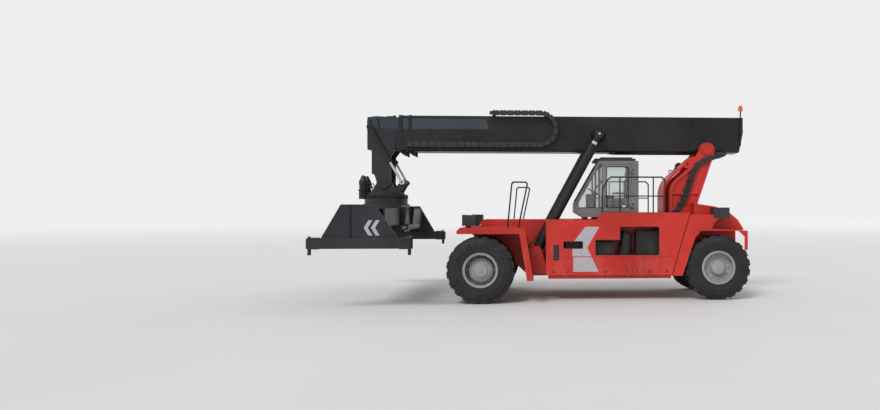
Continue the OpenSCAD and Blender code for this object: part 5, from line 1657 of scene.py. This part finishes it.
@dataclass
class Spreader:
    """Welds, bolts, mouth frames, pipes, chevrons and lock pointers of the spreader."""

    x: float = SLEW_X
    low: float = 1.78
    high: float = 2.34
    reach: float = 2.65
    end: float = 2.955

    def build(self) -> None:
        """Makes all of the spreader's fittings."""
        self.build_middle()
        for side, word in SIDE_WORDS:
            self.build_end(side, word)

    def build_middle(self) -> None:
        """Dresses the head, the tubes and their mouths."""
        bolts, pads, pipes = Shape(), Shape(), Shape()
        for x in (2.115, 3.225):
            out = math.copysign(1, x - self.x)
            for y in span(-0.24, 0.24, 5):
                bolts.bolt((x, y, 2.30), (out, 0, 0), 0.014)
        bolts.make("head_bolts", Look.NOSE, "rotator")
        for s in SIDES:
            for x in (2.415, 2.925):
                outline = rounded((x - 0.258, x + 0.258), (self.low - 0.002, self.high + 0.002), 0.012)
                inner = rounded((x - 0.222, x + 0.222), (self.low + 0.018, self.high - 0.018), 0.008)
                y0, y1 = s * (self.reach - 0.055), s * (self.reach + 0.001)
                rows = ((outline, y0), (outline, y1), (inner, y1), (inner, y0))
                pads.loft([on_plane(row, "y", y) for row, y in rows], closed=True)
        pads.make("tube_mouth_frames", Look.NOSE, "spreader")
        for x in (2.19, 2.65, 2.69, 3.15):
            pipes.hose([(x, -2.58, self.high - 0.0038), (x, 2.58, self.high - 0.0038)], 0.004, BEAD, 0)
        for x in (2.31, 2.345):
            for s in SIDES:
                run = ((1.48, 0.002), (1.55, 0.018), (2.0, 0.018), (2.45, 0.018), (2.52, 0.004))
                pipes.hose([(x, s * y, self.high + up) for y, up in run], 0.011, 8, 3)
        pipes.make("spreader_pipes", Look.NOSE, "spreader")
        clips = Shape()
        for y in (s * out for s in SIDES for out in (1.62, 1.98, 2.34)):
            clips.block((2.285, 2.37), (y - 0.018, y + 0.018), (self.high, self.high + 0.033), 0.006)
            clips.bolt((2.3275, y, self.high + 0.033), UP, 0.007)
        clips.make("pipe_clips", Look.DARK, "spreader")

    def mirror_end(self, shape: Shape, side: int) -> Shape:
        """Turns a fitting of the left end half round for the right end.

        Args:
            shape: the fitting at the left end.
            side: 1 keeps it and -1 turns it.

        Returns:
            The fitting in place.
        """
        if side < 0:
            shape.points = [Vector((2 * self.x - p.x, -p.y, p.z)) for p in shape.points]
        return shape

    def build_end(self, side: int, word: str) -> None:
        """Dresses one end beam.

        Args:
            side: 1 for the left end and -1 for the right.
            word: the side's name.
        """
        body = "arm_" + word
        chevron = Shape()
        run, wide, rise, middle = 0.106, 0.090, 0.175, 1.885
        for apex in (2.316, 2.480):
            apex = apex if side > 0 else 2 * self.x - apex
            arrow = ((0, 0), (-run, rise), (wide - run, rise), (wide, 0), (wide - run, -rise), (-run, -rise))
            chevron.prism([(apex + side * u, middle + v) for u, v in arrow], "y", *(self.end + d for d in SHEET))
        self.mirror_end(chevron, side).make("chevrons_" + word, Look.STRIPE, body)
        bolts, steel = Shape(), Shape()
        for x in (1.86, 2.1, 3.24, 3.48):
            bolts.bolt((x, self.end, 1.72), LEFT, 0.015)
        for x in span(2.42, 3.0, 4):
            bolts.bolt((x, self.end, 2.36), LEFT, 0.012)
        for lock in SIDES:
            x, y = self.x + lock * 1.1295, 2.9265
            steel.washer((0.0405, 0.055), (0, 0.012), (x, y, 1.396), UP, 24)
            bolts.rod((x, y, 1.66), (x, y, 1.684), 0.030, 16)
            steel.block((x - 0.055, x + 0.055), (2.918, 2.935), (1.684, 1.692), 0.003)
        self.mirror_end(bolts, side).make("end_bolts_" + word, Look.NOSE, body)
        self.mirror_end(steel, side).make("lock_pointers_" + word, Look.STEEL, body)
        weld = Shape()
        for out, *path in (
            (0.0, (1.81, 1.645), (2.32, 2.415)), (0.002, (1.80, 1.642), (3.54, 1.642)),
            (0.002, (2.868, 1.65), (2.868, 2.40)), (0.002, (2.892, 1.65), (2.892, 2.40)),
        ):
            weld.hose(on_plane(path, "y", self.end + out), 0.004, BEAD, 0)
        self.mirror_end(weld, side).make("end_welds_" + word, Look.NOSE, body)


@dataclass
class Axles:
    """Bolts of the axles and of the king pins."""

    def build(self) -> None:
        """Makes the bolts of the drive axle, its hubs and the king pins."""
        drive = Shape()
        drive.bolt_ring((0.28, 0, AXLE_Z), AHEAD, 0.075, 1, 0.020)
        drive.bolt_ring((-0.075, 0, AXLE_Z), (-1, 0, 0), 0.245, 14, 0.014)
        for side in SIDES:
            drive.bolt_ring((0, side * 0.9645, AXLE_Z), (0, -side, 0), 0.205, 12, 0.014)
        drive.make("axle_bolts", Look.DARK)
        for side, word in SIDE_WORDS:
            king = Shape().bolt_ring((STEER_X, side * 0.92, 1.045), UP, 0.075, 4, 0.010)
            king.make("king_pin_bolts_" + word, Look.DARK)


WHEELS = tuple(
    Wheel(f"{axle}_{word}", f"{axle}_wheel_{word}", side, *sizes)
    for axle, *sizes in (
        ("drive", 0.0, (1.255, 1.815), (0.357, 1.725), ((0.268, 1.875, 16), (0.208, 1.914, 8), (0.0, 1.975, 1))),
        ("steer", STEER_X, (1.24,), (0.280, 1.315), ((0.145, 1.421, 8), (0.0, 1.430, 1))),
    )
    for side, word in SIDE_WORDS
)


# ---------------------------------------------------------------- studio


@dataclass
class Studio:
    """Pale floor, soft light and the camera."""

    floor_size: float = 400.0
    floor_tone: float = 0.62
    far_tone: float = 0.77
    backdrop: float = 0.86
    sky: float = 0.62
    key: float = 1.9
    fill: float = 0.5
    eye: Point = (0.0775, 19.95, 2.26)
    yaw: float = 3.11
    lens: float = 30.02
    shift: tuple[float, float] = (-0.159, 0.0073)

    def build(self) -> None:
        """Makes the floor, the lights and the camera."""
        self.build_floor()
        self.build_world()
        self.build_sun("key_light", self.key, 22, (0.45, 0.80, 0.95))
        self.build_sun("fill_light", self.fill, 60, (-0.9, -0.5, 0.7))
        self.build_camera()
        scene = bpy.context.scene
        scene.view_settings.view_transform = "Standard"
        LOG.info("studio: floor, two lights, camera")

    def build_floor(self) -> None:
        """Lays the floor at the foot of the wheels."""
        half = self.floor_size / 2
        mesh = bpy.data.meshes.new("floor")
        corners = ((-half, -half), (half, -half), (half, half), (-half, half))
        mesh.from_pydata(on_plane(corners, "z", 0), [], [(0, 1, 2, 3)])
        floor = bpy.data.objects.new("floor", mesh)
        bpy.context.scene.collection.objects.link(floor)
        made = bpy.data.materials.new("floor")
        made.use_nodes = True
        graph = Graph(made.node_tree)
        tone = graph.noise(0.35, 3).step(0.2, 0.8)
        near = graph.colour(tone, (self.floor_tone * 0.97,) * 3, (self.floor_tone,) * 3)
        away = (graph.axis("X") ** 2 + graph.axis("Y") ** 2) ** 0.5
        graph.feed(Base_Color=graph.colour(away.step(12, 110), near, (self.far_tone,) * 3), Roughness=0.75)
        mesh.materials.append(made)

    def build_world(self) -> None:
        """Lights the scene evenly, with a pale background for the eye and for reflections."""
        world = bpy.data.worlds.new("studio")
        bpy.context.scene.world = world
        world.use_nodes = True
        graph = Graph(world.node_tree)
        seen = graph.add("ShaderNodeLightPath")
        flags = [Value(graph, seen.outputs[n]) for n in ("Is Camera Ray", "Is Transmission Ray")]
        strength = flags[0].most(flags[1]) * (self.backdrop - self.sky) + self.sky
        graph.wire(world.node_tree.nodes["Background"], {"Color": (1, 1, 1, 1), "Strength": strength})

    def build_sun(self, name: str, strength: float, angle: float, towards: Point) -> None:
        """Adds a soft sun.

        Args:
            name: the light's name.
            strength: its strength.
            angle: its width in degrees.
            towards: the direction from the object to the light.
        """
        light = bpy.data.lights.new(name, "SUN")
        light.energy = strength
        light.angle = math.radians(angle)
        holder = bpy.data.objects.new(name, light)
        holder.rotation_mode = "QUATERNION"
        holder.rotation_quaternion = Vector(towards).to_track_quat("Z", "Y")
        bpy.context.scene.collection.objects.link(holder)

    def build_camera(self) -> None:
        """Stands the camera where the photograph was taken from."""
        camera = bpy.data.cameras.new("camera")
        camera.sensor_width = 36
        camera.lens = self.lens
        camera.shift_x, camera.shift_y = self.shift
        camera.clip_end = 500
        holder = bpy.data.objects.new("camera", camera)
        yaw = math.radians(self.yaw)
        holder.location = self.eye
        holder.rotation_mode = "QUATERNION"
        holder.rotation_quaternion = Vector((-math.sin(yaw), -math.cos(yaw), 0)).to_track_quat("-Z", "Y")
        bpy.context.scene.collection.objects.link(holder)
        bpy.context.scene.camera = holder


def main() -> None:
    """Dresses the machine, class by class."""
    logging.basicConfig(level=logging.INFO, format="%(name)s %(message)s")
    Studio().build()
    dress_nodes()
    # The seat comes first, while there is little in the scene for its cloth's frames to step through
    parts = (Seat(), *WHEELS, BodyPanels(), Lamps(), Tower(), Counterweight(), Cab(), Boom(), Cylinders(), Rotator(),
             Spreader(), Axles())
    for part in parts:
        LOG.info("building %s", type(part).__name__)
        part.build()


if __name__ == "__main__":
    main()
